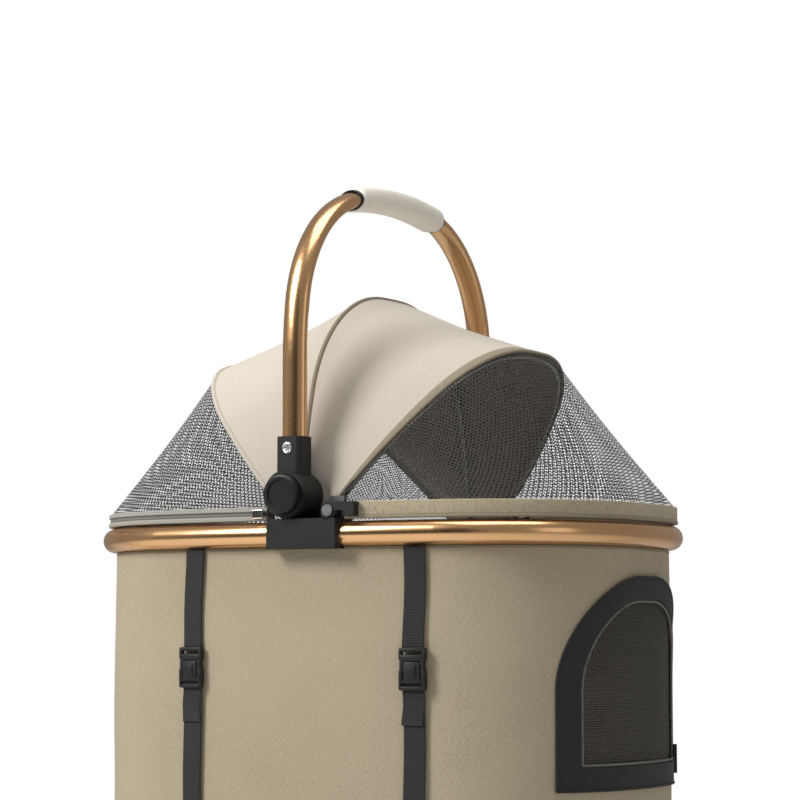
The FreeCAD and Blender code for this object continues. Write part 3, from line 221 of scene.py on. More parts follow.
class Finish:
    """A material's node tree with one Principled shader."""

    def __init__(self, name, colour, roughness=0.6, metallic=0.0, **fixed):
        self.material = bpy.data.materials.new(name)
        self.material.use_nodes = True
        self.tree = self.material.node_tree
        self.shader = next(n for n in self.tree.nodes if n.type == "BSDF_PRINCIPLED")
        self.shader.inputs["Base Color"].default_value = (*colour, 1.0)
        self.shader.inputs["Roughness"].default_value = roughness
        self.shader.inputs["Metallic"].default_value = metallic
        for socket, value in fixed.items():
            self.shader.inputs[socket.replace("_", " ")].default_value = value
        self.material.diffuse_color = (*colour, 1.0)

    def node(self, kind, settings=None, **inputs):
        """Any node: its settings first, then the values or links of its sockets."""
        made = self.tree.nodes.new(kind)
        for name, value in (settings or {}).items():
            setattr(made, name, value)
        for name, value in inputs.items():
            slot = made.inputs[name.replace("_", " ")]
            self.feed(slot, value)
        return made

    def feed(self, slot, value):
        if isinstance(value, Wire):
            self.tree.links.new(value.socket, slot)
        elif hasattr(value, "is_output"):
            self.tree.links.new(value, slot)
        else:
            slot.default_value = value

    def wire(self, socket):
        return Wire(self.tree, socket)

    def coordinates(self, scale=(1, 1, 1), kind="Object", turn=(0, 0, 0)):
        """Object or UV coordinates, in metres, scaled and turned."""
        source = self.node("ShaderNodeTexCoord").outputs[kind]
        return self.node("ShaderNodeMapping", Vector=source, Scale=scale, Rotation=turn).outputs[0]

    def split(self, vector):
        parts = self.node("ShaderNodeSeparateXYZ", Vector=vector)
        return [self.wire(socket) for socket in parts.outputs]

    def noise(self, vector, scale, detail=3.0, roughness=0.5):
        made = self.node(
            "ShaderNodeTexNoise", Vector=vector, Scale=scale, Detail=detail, Roughness=roughness
        )
        return self.wire(made.outputs["Fac"])

    def ramp(self, value, stops):
        """A colour ramp from (place, colour) stops."""
        made = self.node("ShaderNodeValToRGB", Fac=value)
        points = made.color_ramp.elements
        while len(points) < len(stops):
            points.new(0.5)
        for point, (position, colour) in zip(points, stops):
            point.position = position
            point.color = (*colour, 1.0)
        return made.outputs["Color"]

    def mix(self, share, first, second):
        """Two colours mixed by a value."""
        made = self.node("ShaderNodeMix", {"data_type": "RGBA"})
        self.feed(made.inputs[0], share)
        for slot, value in ((made.inputs[6], first), (made.inputs[7], second)):
            self.feed(slot, (*value, 1.0) if isinstance(value, tuple) else value)
        return made.outputs[2]

    def paint(self, colour):
        self.feed(self.shader.inputs["Base Color"], colour)

    def rough(self, value):
        self.feed(self.shader.inputs["Roughness"], value)

    def bump(self, height, strength=0.4, distance=0.001):
        made = self.node("ShaderNodeBump", Height=height, Strength=strength, Distance=distance)
        self.feed(self.shader.inputs["Normal"], made.outputs["Normal"])


# ---- finishes

def woven_linen(name, light, dark, sheen, kind="UV"):
    """Plain-weave linen: heathered yarns along and across, slubs, and a fine bump."""
    finish = Finish(name, light, 0.9, Sheen_Weight=sheen, Sheen_Roughness=0.5)
    along = finish.noise(finish.coordinates((300, 1400, 300), kind), 1.0, 2.0)
    across = finish.noise(finish.coordinates((1400, 300, 300), kind), 1.0, 2.0)
    cloud = finish.noise(finish.coordinates((1, 1, 1), kind), 9.0, 3.0)
    u, v, w = finish.split(finish.coordinates((5200, 5200, 5200), kind))
    threads = u.sine() * v.sine() if kind == "UV" else (u + v * 0.3).sine() * w.sine()
    shade = (along + across) * 0.5 + threads * 0.05 + (cloud - 0.5) * 0.25
    finish.paint(finish.ramp(shade, [(0.24, dark), (0.50, light), (0.78, tuple(c * 1.12 for c in light))]))
    finish.rough(shade * 0.1 + 0.84)
    finish.bump((along + across) * 0.6 + threads * 0.4, 0.35, 0.0006)
    return finish.material


def anodised(name, colour):
    """Satin champagne anodised tube with faint draw lines and handling marks."""
    finish = Finish(name, colour, 0.26, 1.0)
    draw = finish.noise(finish.coordinates((40, 40, 40)), 14.0, 4.0)
    cloud = finish.noise(finish.coordinates((1, 1, 1)), 6.0, 2.0)
    finish.paint(finish.mix(cloud, tuple(c * 0.96 for c in colour), tuple(min(c * 1.03, 1) for c in colour)))
    finish.rough(draw * 0.03 + cloud * 0.05 + 0.20)
    return finish.material


def moulded(name, colour, roughness=0.5):
    """Black moulded plastic with a fine spark-eroded grain and paler worn places."""
    finish = Finish(name, colour, roughness, Specular_IOR_Level=0.32)
    grain = finish.noise(finish.coordinates((1, 1, 1)), 1400.0, 2.0)
    worn = finish.noise(finish.coordinates((1, 1, 1)), 38.0, 4.0)
    finish.paint(finish.mix(worn * 0.7, colour, tuple(c * 1.5 + 0.004 for c in colour)))
    finish.rough(worn * 0.16 + roughness - 0.08)
    finish.bump(grain, 0.22, 0.0004)
    return finish.material


def polished(name, colour, roughness):
    """Bright steel with brushed scratches."""
    finish = Finish(name, colour, roughness, 1.0)
    scratch = finish.noise(finish.coordinates((60, 900, 60)), 2.0, 3.0)
    finish.rough(scratch * 0.2 + roughness - 0.08)
    finish.bump(scratch, 0.06, 0.0002)
    return finish.material


def webbing(name, colour):
    """Ribbed narrow webbing: ribs across and a herringbone."""
    finish = Finish(name, colour, 0.8, Sheen_Weight=0.06)
    u, v, w = finish.split(finish.coordinates((2600, 2600, 2600), "UV"))
    ribs = v.sine() * 0.5 + (u + v * 0.5).sine() * 0.5
    fuzz = finish.noise(finish.coordinates((1, 1, 1), "UV"), 700.0, 2.0)
    finish.paint(finish.mix(ribs * 0.35 + fuzz * 0.4, colour, tuple(c * 2.0 + 0.004 for c in colour)))
    finish.rough(fuzz * 0.2 + 0.62)
    finish.bump(ribs + fuzz * 0.3, 0.5, 0.0006)
    return finish.material


def netting(name, pitch, hole, colour, light):
    """Open net: round holes in a staggered pattern, cut out with alpha."""
    finish = Finish(name, colour, 0.7, Sheen_Weight=0.05)
    u, v, w = finish.split(finish.coordinates((1 / pitch, 1 / pitch, 1), "UV"))

    def spot(u_shift, v_shift):
        across = (u + u_shift).fract() - 0.5
        up = ((v / 1.732) + v_shift).fract() - 0.5
        up = up * 1.732
        return (across * across + up * up).power(0.5)

    gap = spot(0.0, 0.0).least(spot(0.5, 0.5))
    strand = gap.above(hole)
    rim = (gap - hole) * 3.0
    fuzz = finish.noise(finish.coordinates((1, 1, 1), "UV"), 900.0, 2.0)
    finish.paint(finish.mix(fuzz * 0.7, colour, light))
    finish.feed(finish.shader.inputs["Alpha"], strand)
    finish.bump(rim.least(1.0).most(0.0) + fuzz * 0.2, 0.6, 0.0008)
    return finish.material


def grained_leather(name, colour):
    """Cream leather with pebbled grain, its creases darkened with painted shade."""
    finish = Finish(name, colour, 0.48, Coat_Weight=0.05)
    where = finish.coordinates((1, 1, 1))
    cells = finish.node(
        "ShaderNodeTexVoronoi", {"feature": "DISTANCE_TO_EDGE"}, Vector=where, Scale=620.0
    )
    pebble = finish.wire(cells.outputs["Distance"]).least(0.25) * 4.0
    cloud = finish.noise(where, 30.0, 3.0)
    # The grain's cell edges are painted darker: painted shade in its creases.
    finish.paint(finish.mix(pebble * 0.55 + cloud * 0.45, tuple(c * 0.88 for c in colour), colour))
    finish.rough(cloud * 0.16 + 0.40)
    finish.bump(pebble, 0.30, 0.0004)
    return finish.material


def rubber(name, colour, scale=300.0):
    """Fine-grained rubber with a dusty bloom."""
    finish = Finish(name, colour, 0.82)
    grain = finish.noise(finish.coordinates((1, 1, 1)), scale, 3.0)
    dust = finish.noise(finish.coordinates((1, 1, 1)), 16.0, 4.0)
    finish.paint(finish.mix(dust * 0.7, colour, tuple(c * 2.2 + 0.01 for c in colour)))
    finish.rough(dust * 0.2 + 0.72)
    finish.bump(grain, 0.35, 0.0006)
    return finish.material


def padded_cotton(name, colour):
    """Soft cotton with a quilted shading."""
    finish = Finish(name, colour, 0.92, Sheen_Weight=0.3)
    fuzz = finish.noise(finish.coordinates((1, 1, 1)), 520.0, 3.0)
    cloud = finish.noise(finish.coordinates((1, 1, 1)), 12.0, 2.0)
    finish.paint(finish.mix(fuzz * 0.5 + cloud * 0.5, tuple(c * 0.86 for c in colour), colour))
    finish.rough(fuzz * 0.1 + 0.86)
    finish.bump(fuzz, 0.4, 0.0007)
    return finish.material


LINEN = woven_linen("basket_linen", (0.43, 0.366, 0.250), (0.27, 0.220, 0.142), 0.12)
LINEN_PALE = woven_linen("canopy_linen", (0.60, 0.54, 0.455), (0.47, 0.415, 0.335), 0.2)
# The basket linen darkened to about 0.7: painted shade, used on pipings, seams, the hem's folded edge and
# the lip under the edge band.
LINEN_PAINTED_SHADE = woven_linen("linen_painted_shade", (0.30, 0.255, 0.175), (0.18, 0.148, 0.098), 0.1)
CHAMPAGNE = anodised("champagne_tube", (0.74, 0.44, 0.22))
BLACK_PLASTIC = moulded("black_plastic", (0.011, 0.011, 0.0105))
BLACK_SMOOTH = moulded("black_button", (0.009, 0.009, 0.009), 0.36)
STEEL = polished("bright_steel", (0.62, 0.62, 0.61), 0.28)
ZIP_METAL = polished("bright_zip", (0.72, 0.72, 0.70), 0.18)
WEBBING = webbing("black_webbing", (0.008, 0.008, 0.008))
GREY_TAPE = webbing("grey_tape", (0.33, 0.31, 0.275))
# The grey tape darkened to about half: painted shade for the zip's recessed middle layer and the window's
# inner line.
GREY_PAINTED_SHADE = webbing("grey_tape_painted_shade", (0.16, 0.15, 0.13))
NET = netting("black_mesh", 0.0046, 0.37, (0.012, 0.012, 0.012), (0.05, 0.05, 0.048))
NET_FINE = netting("fine_black_mesh", 0.0024, 0.25, (0.010, 0.010, 0.010), (0.035, 0.035, 0.034))
LEATHER = grained_leather("cream_leather", (0.95, 0.90, 0.79))
TYRE = rubber("tyre_rubber", (0.018, 0.018, 0.018))
FOAM = rubber("foam_grip", (0.02, 0.02, 0.02), 900.0)
COTTON = padded_cotton("cushion_cloth", (0.66, 0.61, 0.52))
WHEEL = moulded("wheel_plastic", (0.035, 0.035, 0.036), 0.42)
BOARD = moulded("base_panel", (0.06, 0.055, 0.05), 0.7)
STORE_CLOTH = woven_linen("store_cloth", (0.030, 0.030, 0.031), (0.015, 0.015, 0.015), 0.2)

FINISH_GROUPS = (
    (CHAMPAGNE, "rim_tube bail_tube main_tube_right main_tube_left cross_tubes rear_legs push_bar"),
    (STEEL, "canopy_pivot_screws bail_screws canopy_bow_rear canopy_bow_mid canopy_bow_front"),
    (STEEL, "push_hinge_pins rear_axle front_axle_right front_axle_left"),
    (TYRE, "front_tyre_right front_tyre_left rear_tyre_right rear_tyre_left"),
    (WHEEL, "front_wheel_right front_wheel_left rear_wheel_right rear_wheel_left"),
    (BLACK_SMOOTH, "hub_button_right hub_button_left"),
    (ZIP_METAL, "zip_slider"),
    (BOARD, "base_board"),
    (FOAM, "push_grip"),
    (WEBBING, "window_zip_pull"),
    (LEATHER, "bail_grip"),
)
NODE_FINISHES = {name: finish for finish, names in FINISH_GROUPS for name in names.split()}


def dress_nodes():
    """Every CAD node that stays gets its own finish; black plastic is the common one."""
    for name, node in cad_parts.items():
        material = NODE_FINISHES.get(name, BLACK_PLASTIC)
        node.data.materials.clear()
        node.data.materials.append(material)


# ---- making meshes

def select_only(piece):
    if bpy.context.object and bpy.context.object.mode != "OBJECT":
        bpy.ops.object.mode_set(mode="OBJECT")
    bpy.ops.object.select_all(action="DESELECT")
    piece.select_set(True)
    bpy.context.view_layer.objects.active = piece


def name_piece(piece, name, material):
    piece.name = name
    piece.data.name = name
    piece.data.materials.clear()
    piece.data.materials.append(material)
    return piece


def grid_piece(name, columns, rows, shape, material, closed=False):
    """A grid primitive whose points are moved by shape(u, v); its UV map is in metres."""
    bpy.ops.object.select_all(action="DESELECT")
    bpy.ops.mesh.primitive_grid_add(x_subdivisions=columns, y_subdivisions=rows, size=1.0)
    piece = bpy.context.object
    mesh = piece.data
    shares = [(vertex.co.x + 0.5, vertex.co.y + 0.5) for vertex in mesh.vertices]
    for vertex, (u, v) in zip(mesh.vertices, shares):
        vertex.co = shape(u, v)
    width, height = sheet_size(shape)
    layer = mesh.uv_layers.active or mesh.uv_layers.new(name="metres")
    for loop in mesh.loops:
        u, v = shares[loop.vertex_index]
        layer.data[loop.index].uv = (u * width, v * height)
    if closed:
        select_only(piece)
        bpy.ops.object.mode_set(mode="EDIT")
        bpy.ops.mesh.select_all(action="SELECT")
        bpy.ops.mesh.remove_doubles(threshold=0.00002)
        bpy.ops.object.mode_set(mode="OBJECT")
    smooth(piece)
    return name_piece(piece, name, material)


def sheet_size(shape, steps=48):
    """Longest run of a shaped grid along u and along v."""
    def run(points):
        return sum((after - before).length for before, after in zip(points, points[1:]))

    across = max(run([shape(i / steps, v) for i in range(steps + 1)]) for v in (0.0, 0.5, 1.0))
    along = max(run([shape(u, i / steps) for i in range(steps + 1)]) for u in (0.25, 0.5, 0.75))
    return across, along


def smooth(piece, angle=40.0):
    select_only(piece)
    bpy.ops.object.shade_smooth_by_angle(angle=math.radians(angle))


def outward(piece):
    """Faces turned to point outwards."""
    select_only(piece)
    bpy.ops.object.mode_set(mode="EDIT")
    bpy.ops.mesh.select_all(action="SELECT")
    bpy.ops.mesh.normals_make_consistent(inside=False)
    bpy.ops.object.mode_set(mode="OBJECT")


def modified(piece, kind, **settings):
    """Adds a modifier and applies it at once."""
    select_only(piece)
    modifier = piece.modifiers.new(kind.title(), kind)
    for name, value in settings.items():
        setattr(modifier, name, value)
    bpy.ops.object.modifier_apply(modifier=modifier.name)
    return piece


def block(name, centre, size, material, bevel=0.001, segments=2):
    """A box primitive at its size and place, with bevelled edges."""
    bpy.ops.object.select_all(action="DESELECT")
    bpy.ops.mesh.primitive_cube_add(size=1.0, location=centre, scale=size)
    piece = bpy.context.object
    bpy.ops.object.transform_apply(location=True, rotation=True, scale=True)
    bpy.ops.object.mode_set(mode="EDIT")
    bpy.ops.mesh.select_all(action="SELECT")
    bpy.ops.mesh.bevel(offset=bevel, segments=segments, affect="EDGES")
    bpy.ops.object.mode_set(mode="OBJECT")
    smooth(piece)
    return name_piece(piece, name, material)


def cylinder(name, centre, radius, depth, axis, material, sides=48, bevel=0.0):
    """A round primitive about one axis, its rims bevelled."""
    turns = {"X": (0, math.pi / 2, 0), "Y": (math.pi / 2, 0, 0), "Z": (0, 0, 0)}
    bpy.ops.object.select_all(action="DESELECT")
    bpy.ops.mesh.primitive_cylinder_add(
        vertices=sides, radius=radius, depth=depth, location=centre, rotation=turns[axis]
    )
    piece = bpy.context.object
    bpy.ops.object.transform_apply(location=True, rotation=True, scale=True)
    if bevel:
        modified(piece, "BEVEL", width=bevel, segments=3, limit_method="ANGLE")
    smooth(piece)
    return name_piece(piece, name, material)


def cord_piece(name, points, radius, material, closed=False):
    """Piping or thread along points, as a mesh with its place in its vertices."""
    data = bpy.data.curves.new(name, "CURVE")
    data.dimensions = "3D"
    data.bevel_depth = radius
    data.bevel_resolution = 3
    data.use_fill_caps = True
    line = data.splines.new("POLY")
    line.points.add(len(points) - 1)
    for slot, point in zip(line.points, points):
        slot.co = (*point, 1.0)
    line.use_cyclic_u = closed
    piece = bpy.data.objects.new(name, data)
    bpy.context.collection.objects.link(piece)
    select_only(piece)
    bpy.ops.object.convert(target="MESH")
    piece = bpy.context.object
    smooth(piece)
    return name_piece(piece, name, material)


def joined(pieces, name):
    """Several meshes as one piece, keeping their finishes."""
    bpy.ops.object.select_all(action="DESELECT")
    for piece in pieces:
        piece.select_set(True)
    bpy.context.view_layer.objects.active = pieces[0]
    bpy.ops.object.join()
    piece = bpy.context.object
    piece.name = name
    piece.data.name = name
    return piece


def ripple(point, size, scale, seed):
    """A small soft unevenness at a point, from -size to size."""
    return size * noise.noise(Vector(point) * scale + Vector((seed, seed * 1.7, -seed)))


# ---- basket

BASKET_GROW = -0.001
CLOTH_WALL = 0.003
NECK_GROW = -TUBE_RADIUS - 0.0004


def basket_wall_point(angle, down):
    """Outer face of the basket's side, slightly uneven, fuller at mid height; down runs from 0 to 1."""
    top = -TUBE_RADIUS - 0.0006
    height = top + (BASKET_FOOT - top) * down
    fullness = 0.0012 * math.sin(math.pi * down)
    base = rim_point(angle, BASKET_GROW, height)
    wave = ripple(base, 0.0011, 9.0, 3.0) + ripple(base, 0.0005, 24.0, 8.0)
    return rim_point(angle, BASKET_GROW + fullness - 0.001 + wave * math.sin(math.pi * down), height)


WINDOW_HALF = 0.103
WINDOW_LOW = -0.212
WINDOW_HIGH = -0.047
WINDOW_BEND = 0.090


def window_cutter(grow):
    """The arched window as a block through the basket's front wall."""
    half = WINDOW_HALF + grow
    low = WINDOW_LOW - grow
    high = WINDOW_HIGH + grow
    bend = WINDOW_BEND + grow
    bpy.ops.object.select_all(action="DESELECT")
    centre = RIM + Vector((HALF_LENGTH, 0, (low + high) / 2))
    bpy.ops.mesh.primitive_cube_add(size=1.0, location=centre, scale=(HALF_LENGTH, 2 * half, high - low))
    piece = bpy.context.object
    bpy.ops.object.transform_apply(location=True, rotation=True, scale=True)
    upper = RIM.z + high
    for edge in piece.data.edges:
        ends = [piece.data.vertices[i].co for i in edge.vertices]
        along_x = abs(ends[0].y - ends[1].y) < 1e-6 and abs(ends[0].z - ends[1].z) < 1e-6
        edge.select = along_x and abs(ends[0].z - upper) < 1e-6
    for vertex in piece.data.vertices:
        vertex.select = False
    for face in piece.data.polygons:
        face.select = False
    bpy.ops.object.mode_set(mode="EDIT")
    bpy.ops.mesh.select_mode(type="EDGE")
    bpy.ops.mesh.bevel(offset=bend, segments=20, affect="EDGES")
    bpy.ops.object.mode_set(mode="OBJECT")
    return piece


def cut_window(piece, grow):
    cutter = window_cutter(grow)
    modified(piece, "BOOLEAN", operation="DIFFERENCE", object=cutter, solver="EXACT")
    bpy.data.objects.remove(cutter)
    smooth(piece)
    return piece


def basket_shell():
    """Side wall as one shell, with its window opening."""
    angles, _ = RIM_OVAL.even_angles(0.0, 2 * math.pi, PERIMETER_STEPS)

    def wall(u, v):
        return basket_wall_point(angles[round(u * PERIMETER_STEPS)], 1.0 - v)

    piece = grid_piece("basket_cloth", PERIMETER_STEPS, 40, wall, LINEN, closed=True)
    outward(piece)
    modified(piece, "SOLIDIFY", thickness=CLOTH_WALL, offset=-1.0)
    cut_window(piece, 0.0)
    return piece


def basket_floor():
    angles, _ = RIM_OVAL.even_angles(0.0, 2 * math.pi, PERIMETER_STEPS)

    def floor(u, v):
        rim = rim_point(angles[round(u * PERIMETER_STEPS)], BASKET_GROW - 0.0035, BASKET_FOOT + 0.0016)
        centre = Vector((RIM.x, RIM.y, RIM.z + BASKET_FOOT + 0.0016))
        return centre.lerp(rim, max(v, 0.02))

    piece = grid_piece("basket_floor_cloth", PERIMETER_STEPS, 14, floor, LINEN, closed=True)
    modified(piece, "SOLIDIFY", thickness=0.0024, offset=0.0)
    return piece


def ring_cord(name, grow, height, radius, material):
    """Piping that runs all round the carrier."""
    angles, _ = RIM_OVAL.even_angles(0.0, 2 * math.pi, PERIMETER_STEPS)
    points = [rim_point(angle, grow, height) for angle in angles[:-1]]
    return cord_piece(name, points, radius, material, closed=True)


def collar():
    """The basket's neck, which passes up inside the rim tube."""
    angles, _ = RIM_OVAL.even_angles(0.0, 2 * math.pi, PERIMETER_STEPS)
    low = -TUBE_RADIUS - 0.0045
    high = 0.0085

    def wall(u, v):
        return rim_point(angles[round(u * PERIMETER_STEPS)], NECK_GROW - 0.0006, low + (high - low) * v)

    piece = grid_piece("basket_neck", PERIMETER_STEPS, 6, wall, LINEN, closed=True)
    outward(piece)
    modified(piece, "SOLIDIFY", thickness=0.0022, offset=-1.0)
    return piece


PIPINGS = (
    ("basket_foot_piping", 0.001, BASKET_FOOT + 0.0035, 0.0022),
    ("basket_top_piping", 0.002, -TUBE_RADIUS - 0.0022, 0.0015),
)


def make_basket():
    shell = basket_shell()
    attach(shell, "carrier")
    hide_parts("basket_fabric")
    pieces = [basket_floor(), collar()]
    for name, inset, height, radius in PIPINGS:
        # The pipings take the darkened linen: painted shade along the basket's top and foot.
        pieces.append(ring_cord(name, BASKET_GROW - inset, height, radius, LINEN_PAINTED_SHADE))
    for piece in pieces:
        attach(piece, "carrier")


# ---- front window

def window_path(grow, count=160):
    """Points round the window's arch, on the basket's outer face, from foot to foot."""
    half = WINDOW_HALF + grow
    low = WINDOW_LOW - grow
    high = WINDOW_HIGH + grow
    bend = WINDOW_BEND + grow
    outline = []
    straight = 24
    for i in range(straight):
        outline.append((-half, low + (high - bend - low) * i / straight))
    for i in range(count // 2 + 1):
        turn = math.pi - math.pi / 2 * i / (count // 2)
        outline.append((-half + bend + bend * math.cos(turn), high - bend + bend * math.sin(turn)))
    mirrored = [(-y, z) for y, z in reversed(outline)]
    foot = [(half - 2 * half * i / 40, low) for i in range(1, 40)]
    return outline + mirrored[1:] + foot


def front_face_x(y, grow=0.0):
    """Where the basket's front wall stands at a distance from the middle plane."""
    low, high = 0.0, math.pi / 2
    for _ in range(40):
        angle = (low + high) / 2
        if RIM_OVAL.at(angle, BASKET_GROW).y < abs(y):
            low = angle
        else:
            high = angle
    return RIM_OVAL.at(low, BASKET_GROW + grow).x


def on_front(outline, grow):
    return [RIM + Vector((front_face_x(y, grow), y, z)) for y, z in outline]


def ribbon(name, inner, outer, material, thickness):
    """A closed flat band between two matching closed lines."""
    count = len(inner)

    def shape(u, v):
        i = round(u * count) % count
        return inner[i].lerp(outer[i], v)

    piece = grid_piece(name, count, 3, shape, material, closed=True)
    outward(piece)
    modified(piece, "SOLIDIFY", thickness=thickness, offset=0.0)
    modified(piece, "BEVEL", width=0.0004, segments=2, limit_method="ANGLE")
    return piece


BINDING_HALF = 0.010
PANE_LOW = -0.226
PANE_HEIGHT = 0.190
PANE_TURN = 1.05
PANE_STEPS = 60


def make_window():
    """Mesh pane, wide binding, grey inner line and outer bead."""
    angles, length = RIM_OVAL.even_angles(-PANE_TURN, PANE_TURN, PANE_STEPS)

    def pane(u, v):
        return rim_point(angles[round(u * PANE_STEPS)], BASKET_GROW - 0.0022, PANE_LOW + PANE_HEIGHT * v)

    net = grid_piece("window_net", PANE_STEPS, 24, pane, NET_FINE)
    length + 0.002
    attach(net, "carrier")
    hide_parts("front_window_mesh")
    inner = on_front(window_path(-BINDING_HALF), 0.0014)
    outer = on_front(window_path(BINDING_HALF), 0.0014)
    binding = ribbon("window_binding", inner, outer, WEBBING, 0.0018)
    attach(binding, "carrier")
    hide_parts("front_window_binding")
    inner_path = on_front(window_path(-BINDING_HALF - 0.0018), 0.0006)
    outer_path = on_front(window_path(BINDING_HALF - 0.0002), 0.0022)
    # The inner line takes the darkened grey: painted shade along the binding's inner edge.
    line = cord_piece("window_inner_line", inner_path, 0.0011, GREY_PAINTED_SHADE, closed=True)
    bead = cord_piece("window_outer_bead", outer_path, 0.0010, WEBBING, closed=True)
    for piece in (line, bead):
        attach(piece, "carrier")


# ---- canopy

def clear_of_hub(point):
    """Moves a point of cloth inward where the hubs stand."""
    local = point - RIM
    near = math.hypot(local.x - HUB.x, local.z - HUB.z)
    pivot = math.hypot(local.x - 0.048, local.z - 0.020)
    limit = HUB_REACH + max(0.0, min(near - 0.024, 0.03)) * 0.6
    limit = min(limit, 0.1500 + max(0.0, min(pivot - 0.010, 0.03)) * 0.9)
    if abs(local.y) > limit:
        local.y = math.copysign(limit, local.y)
    return RIM + local


FOOT_HEIGHT = 0.014


def bow_angles(kind, oval, foot, count):
    """Even angles along a bow from its near foot to its far foot."""
    x, z, tilt = BOW_FEET[kind]
    start = oval.side_angle((foot - z * MM) / math.sin(math.radians(tilt)))
    angles, _ = oval.even_angles(start, math.pi - start, count)
    return angles


def between_bows(first, second, count, foot, sag, shrink):
    """Shape function of cloth from one bow to the next, with a soft sag and rounded at both bows."""
    lines = []
    for kind, oval in (first, second):
        angles = bow_angles(kind, oval, foot, count)
        lines.append([bow_point(kind, oval, angle, shrink) for angle in angles])

    def shape(u, v):
        i = round(u * count)
        a, b = lines[0][i], lines[1][i]
        point = a.lerp(b, v)
        centre = place(8, 0, 40)
        inward = (centre - point).normalized()
        rise = (point.z - RIM.z) / 0.2
        dip = sag * math.sin(math.pi * v) * min(max(rise, 0.0), 1.0)
        wave = ripple(point, 0.0012, 14.0, 5.0) * math.sin(math.pi * v) * min(max(rise, 0.0), 1.0)
        return clear_of_hub(point + inward * (dip + wave))

    return shape


CANOPY_COLUMNS = 120
CANOPY_ROWS = 28
NET_GAP = 0.0006
NET_LEAN = 0.002


def canopy_cloth(name, first, second, replaced):
    """One curved sheet between two bows."""
    shape = between_bows(first, second, CANOPY_COLUMNS, FOOT_HEIGHT, 0.003, -0.0003)
    piece = grid_piece(name, CANOPY_COLUMNS, CANOPY_ROWS, shape, LINEN_PALE)
    size = sheet_size(shape)
    outward_from(piece, place(8, 0, 40))
    modified(piece, "SOLIDIFY", thickness=0.0016, offset=-1.0)
    size[0] * 1.02
    size[1] * 1.02
    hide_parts(replaced)
    return piece


def outward_from(piece, centre):
    """Faces of an open sheet turned away from a point inside the object."""
    mesh = piece.data
    face = mesh.polygons[len(mesh.polygons) // 2]
    if face.normal.dot(face.center - centre) < 0:
        select_only(piece)
        bpy.ops.object.mode_set(mode="EDIT")
        bpy.ops.mesh.select_all(action="SELECT")
        bpy.ops.mesh.flip_normals()
        bpy.ops.object.mode_set(mode="OBJECT")


def canopy_net(name, kind, oval, foot, lean, replaced):
    """Net from a bow down to the edge of the rim."""
    angles = bow_angles(kind, oval, foot, CANOPY_COLUMNS)
    top = [bow_point(kind, oval, angle, -0.0008) for angle in angles]
    x, z, tilt = BOW_FEET[kind]
    ahead = 1.0 if tilt < 90 else -1.0
    start = abs(x * MM + foot / math.tan(math.radians(tilt)))
    first = math.acos(start / RIM_OVAL.radii[2])
    turned, _ = RIM_OVAL.even_angles(-first, first, CANOPY_COLUMNS)
    base = []
    for angle in turned:
        flat = RIM_OVAL.at(angle, 0.003)
        base.append(RIM + Vector((ahead * flat.x, flat.y, foot)))
    if base[0].y * top[0].y < 0:
        base.reverse()

    def shape(u, v):
        i = round(u * CANOPY_COLUMNS)
        point = top[i].lerp(base[i], v)
        inward = (place(0, 0, 60) - point).normalized()
        return clear_of_hub(point + inward * lean * math.sin(math.pi * v))

    piece = grid_piece(name, CANOPY_COLUMNS, 24, shape, NET)
    size = sheet_size(shape)
    outward_from(piece, place(0, 0, 60))
    size[0] * 1.02
    size[1] * 1.02
    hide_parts(replaced)
    return piece


def bow_trim(name, kind, oval, radius, material, shift=0.0, foot=0.020):
    """Piping or a hem roll that follows a bow over the cloth."""
    angles = bow_angles(kind, oval, foot, 110)
    points = [clear_of_hub(bow_point(kind, oval, angle, shift)) for angle in angles]
    piece = cord_piece(name, points, radius, material)
    return piece


HEM_SHARE = 0.055
HEM_LIFT = 0.0005
HEM_ROLL_FOOT = 0.048


def hem_facing(name, first, second):
    """A flat facing sewn over the front cloth, beside the front bow."""
    cloth = between_bows(first, second, CANOPY_COLUMNS, FOOT_HEIGHT, 0.003, -0.0003)
    middle_point = place(8, 0, 40)

    def shape(u, v):
        point = cloth(u, 1.0 - HEM_SHARE * (1.0 - v))
        return point + (point - middle_point).normalized() * HEM_LIFT

    # The facing takes the darkened linen: painted shade of the hem's folded edge.
    piece = grid_piece(name, CANOPY_COLUMNS, 4, shape, LINEN_PAINTED_SHADE)
    outward_from(piece, middle_point)
    modified(piece, "SOLIDIFY", thickness=0.0009, offset=0.0)
    return piece


def make_canopy():
    middle_bow = ("mid", MID_BOW)
    rear = canopy_cloth(
        "canopy_rear_cloth", middle_bow, ("rear", REAR_BOW), "canopy_rear_fabric"
    )
    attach(rear, "carrier")
    front = canopy_cloth(
        "canopy_front_cloth", middle_bow, ("front", FRONT_BOW), "canopy_front_fabric"
    )
    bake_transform(front)
    rear_net = canopy_net(
        "canopy_rear_net", "rear", REAR_BOW, TAPE_HIGH + NET_GAP, NET_LEAN, "canopy_rear_mesh"
    )
    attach(rear_net, "carrier")
    front_net = canopy_net(
        "canopy_front_net", "front", FRONT_BOW, BAND_HIGH + NET_GAP, NET_LEAN, "canopy_front_mesh"
    )
    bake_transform(front_net)
    # The seam binding takes the darkened linen: painted shade in the seam.
    seam = bow_trim("canopy_seam_binding", "mid", MID_BOW, 0.0023, LINEN_PAINTED_SHADE, -0.0012)
    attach(seam, "carrier")
    rear_hem = bow_trim("canopy_rear_hem", "rear", REAR_BOW, 0.0022, LINEN_PALE, -0.0006)
    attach(rear_hem, "carrier")
    hem = hem_facing("canopy_front_hem", ("mid", MID_BOW), ("front", FRONT_BOW))
    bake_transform(hem)
    # The hem roll takes the darkened linen: painted shade along the folded front edge.
    hem_roll = bow_trim("canopy_hem_roll", "front", FRONT_BOW, 0.0018, LINEN_PAINTED_SHADE, -0.0010, HEM_ROLL_FOOT)
    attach(hem_roll, "canopy_bow")


# ---- edge band and zip tape

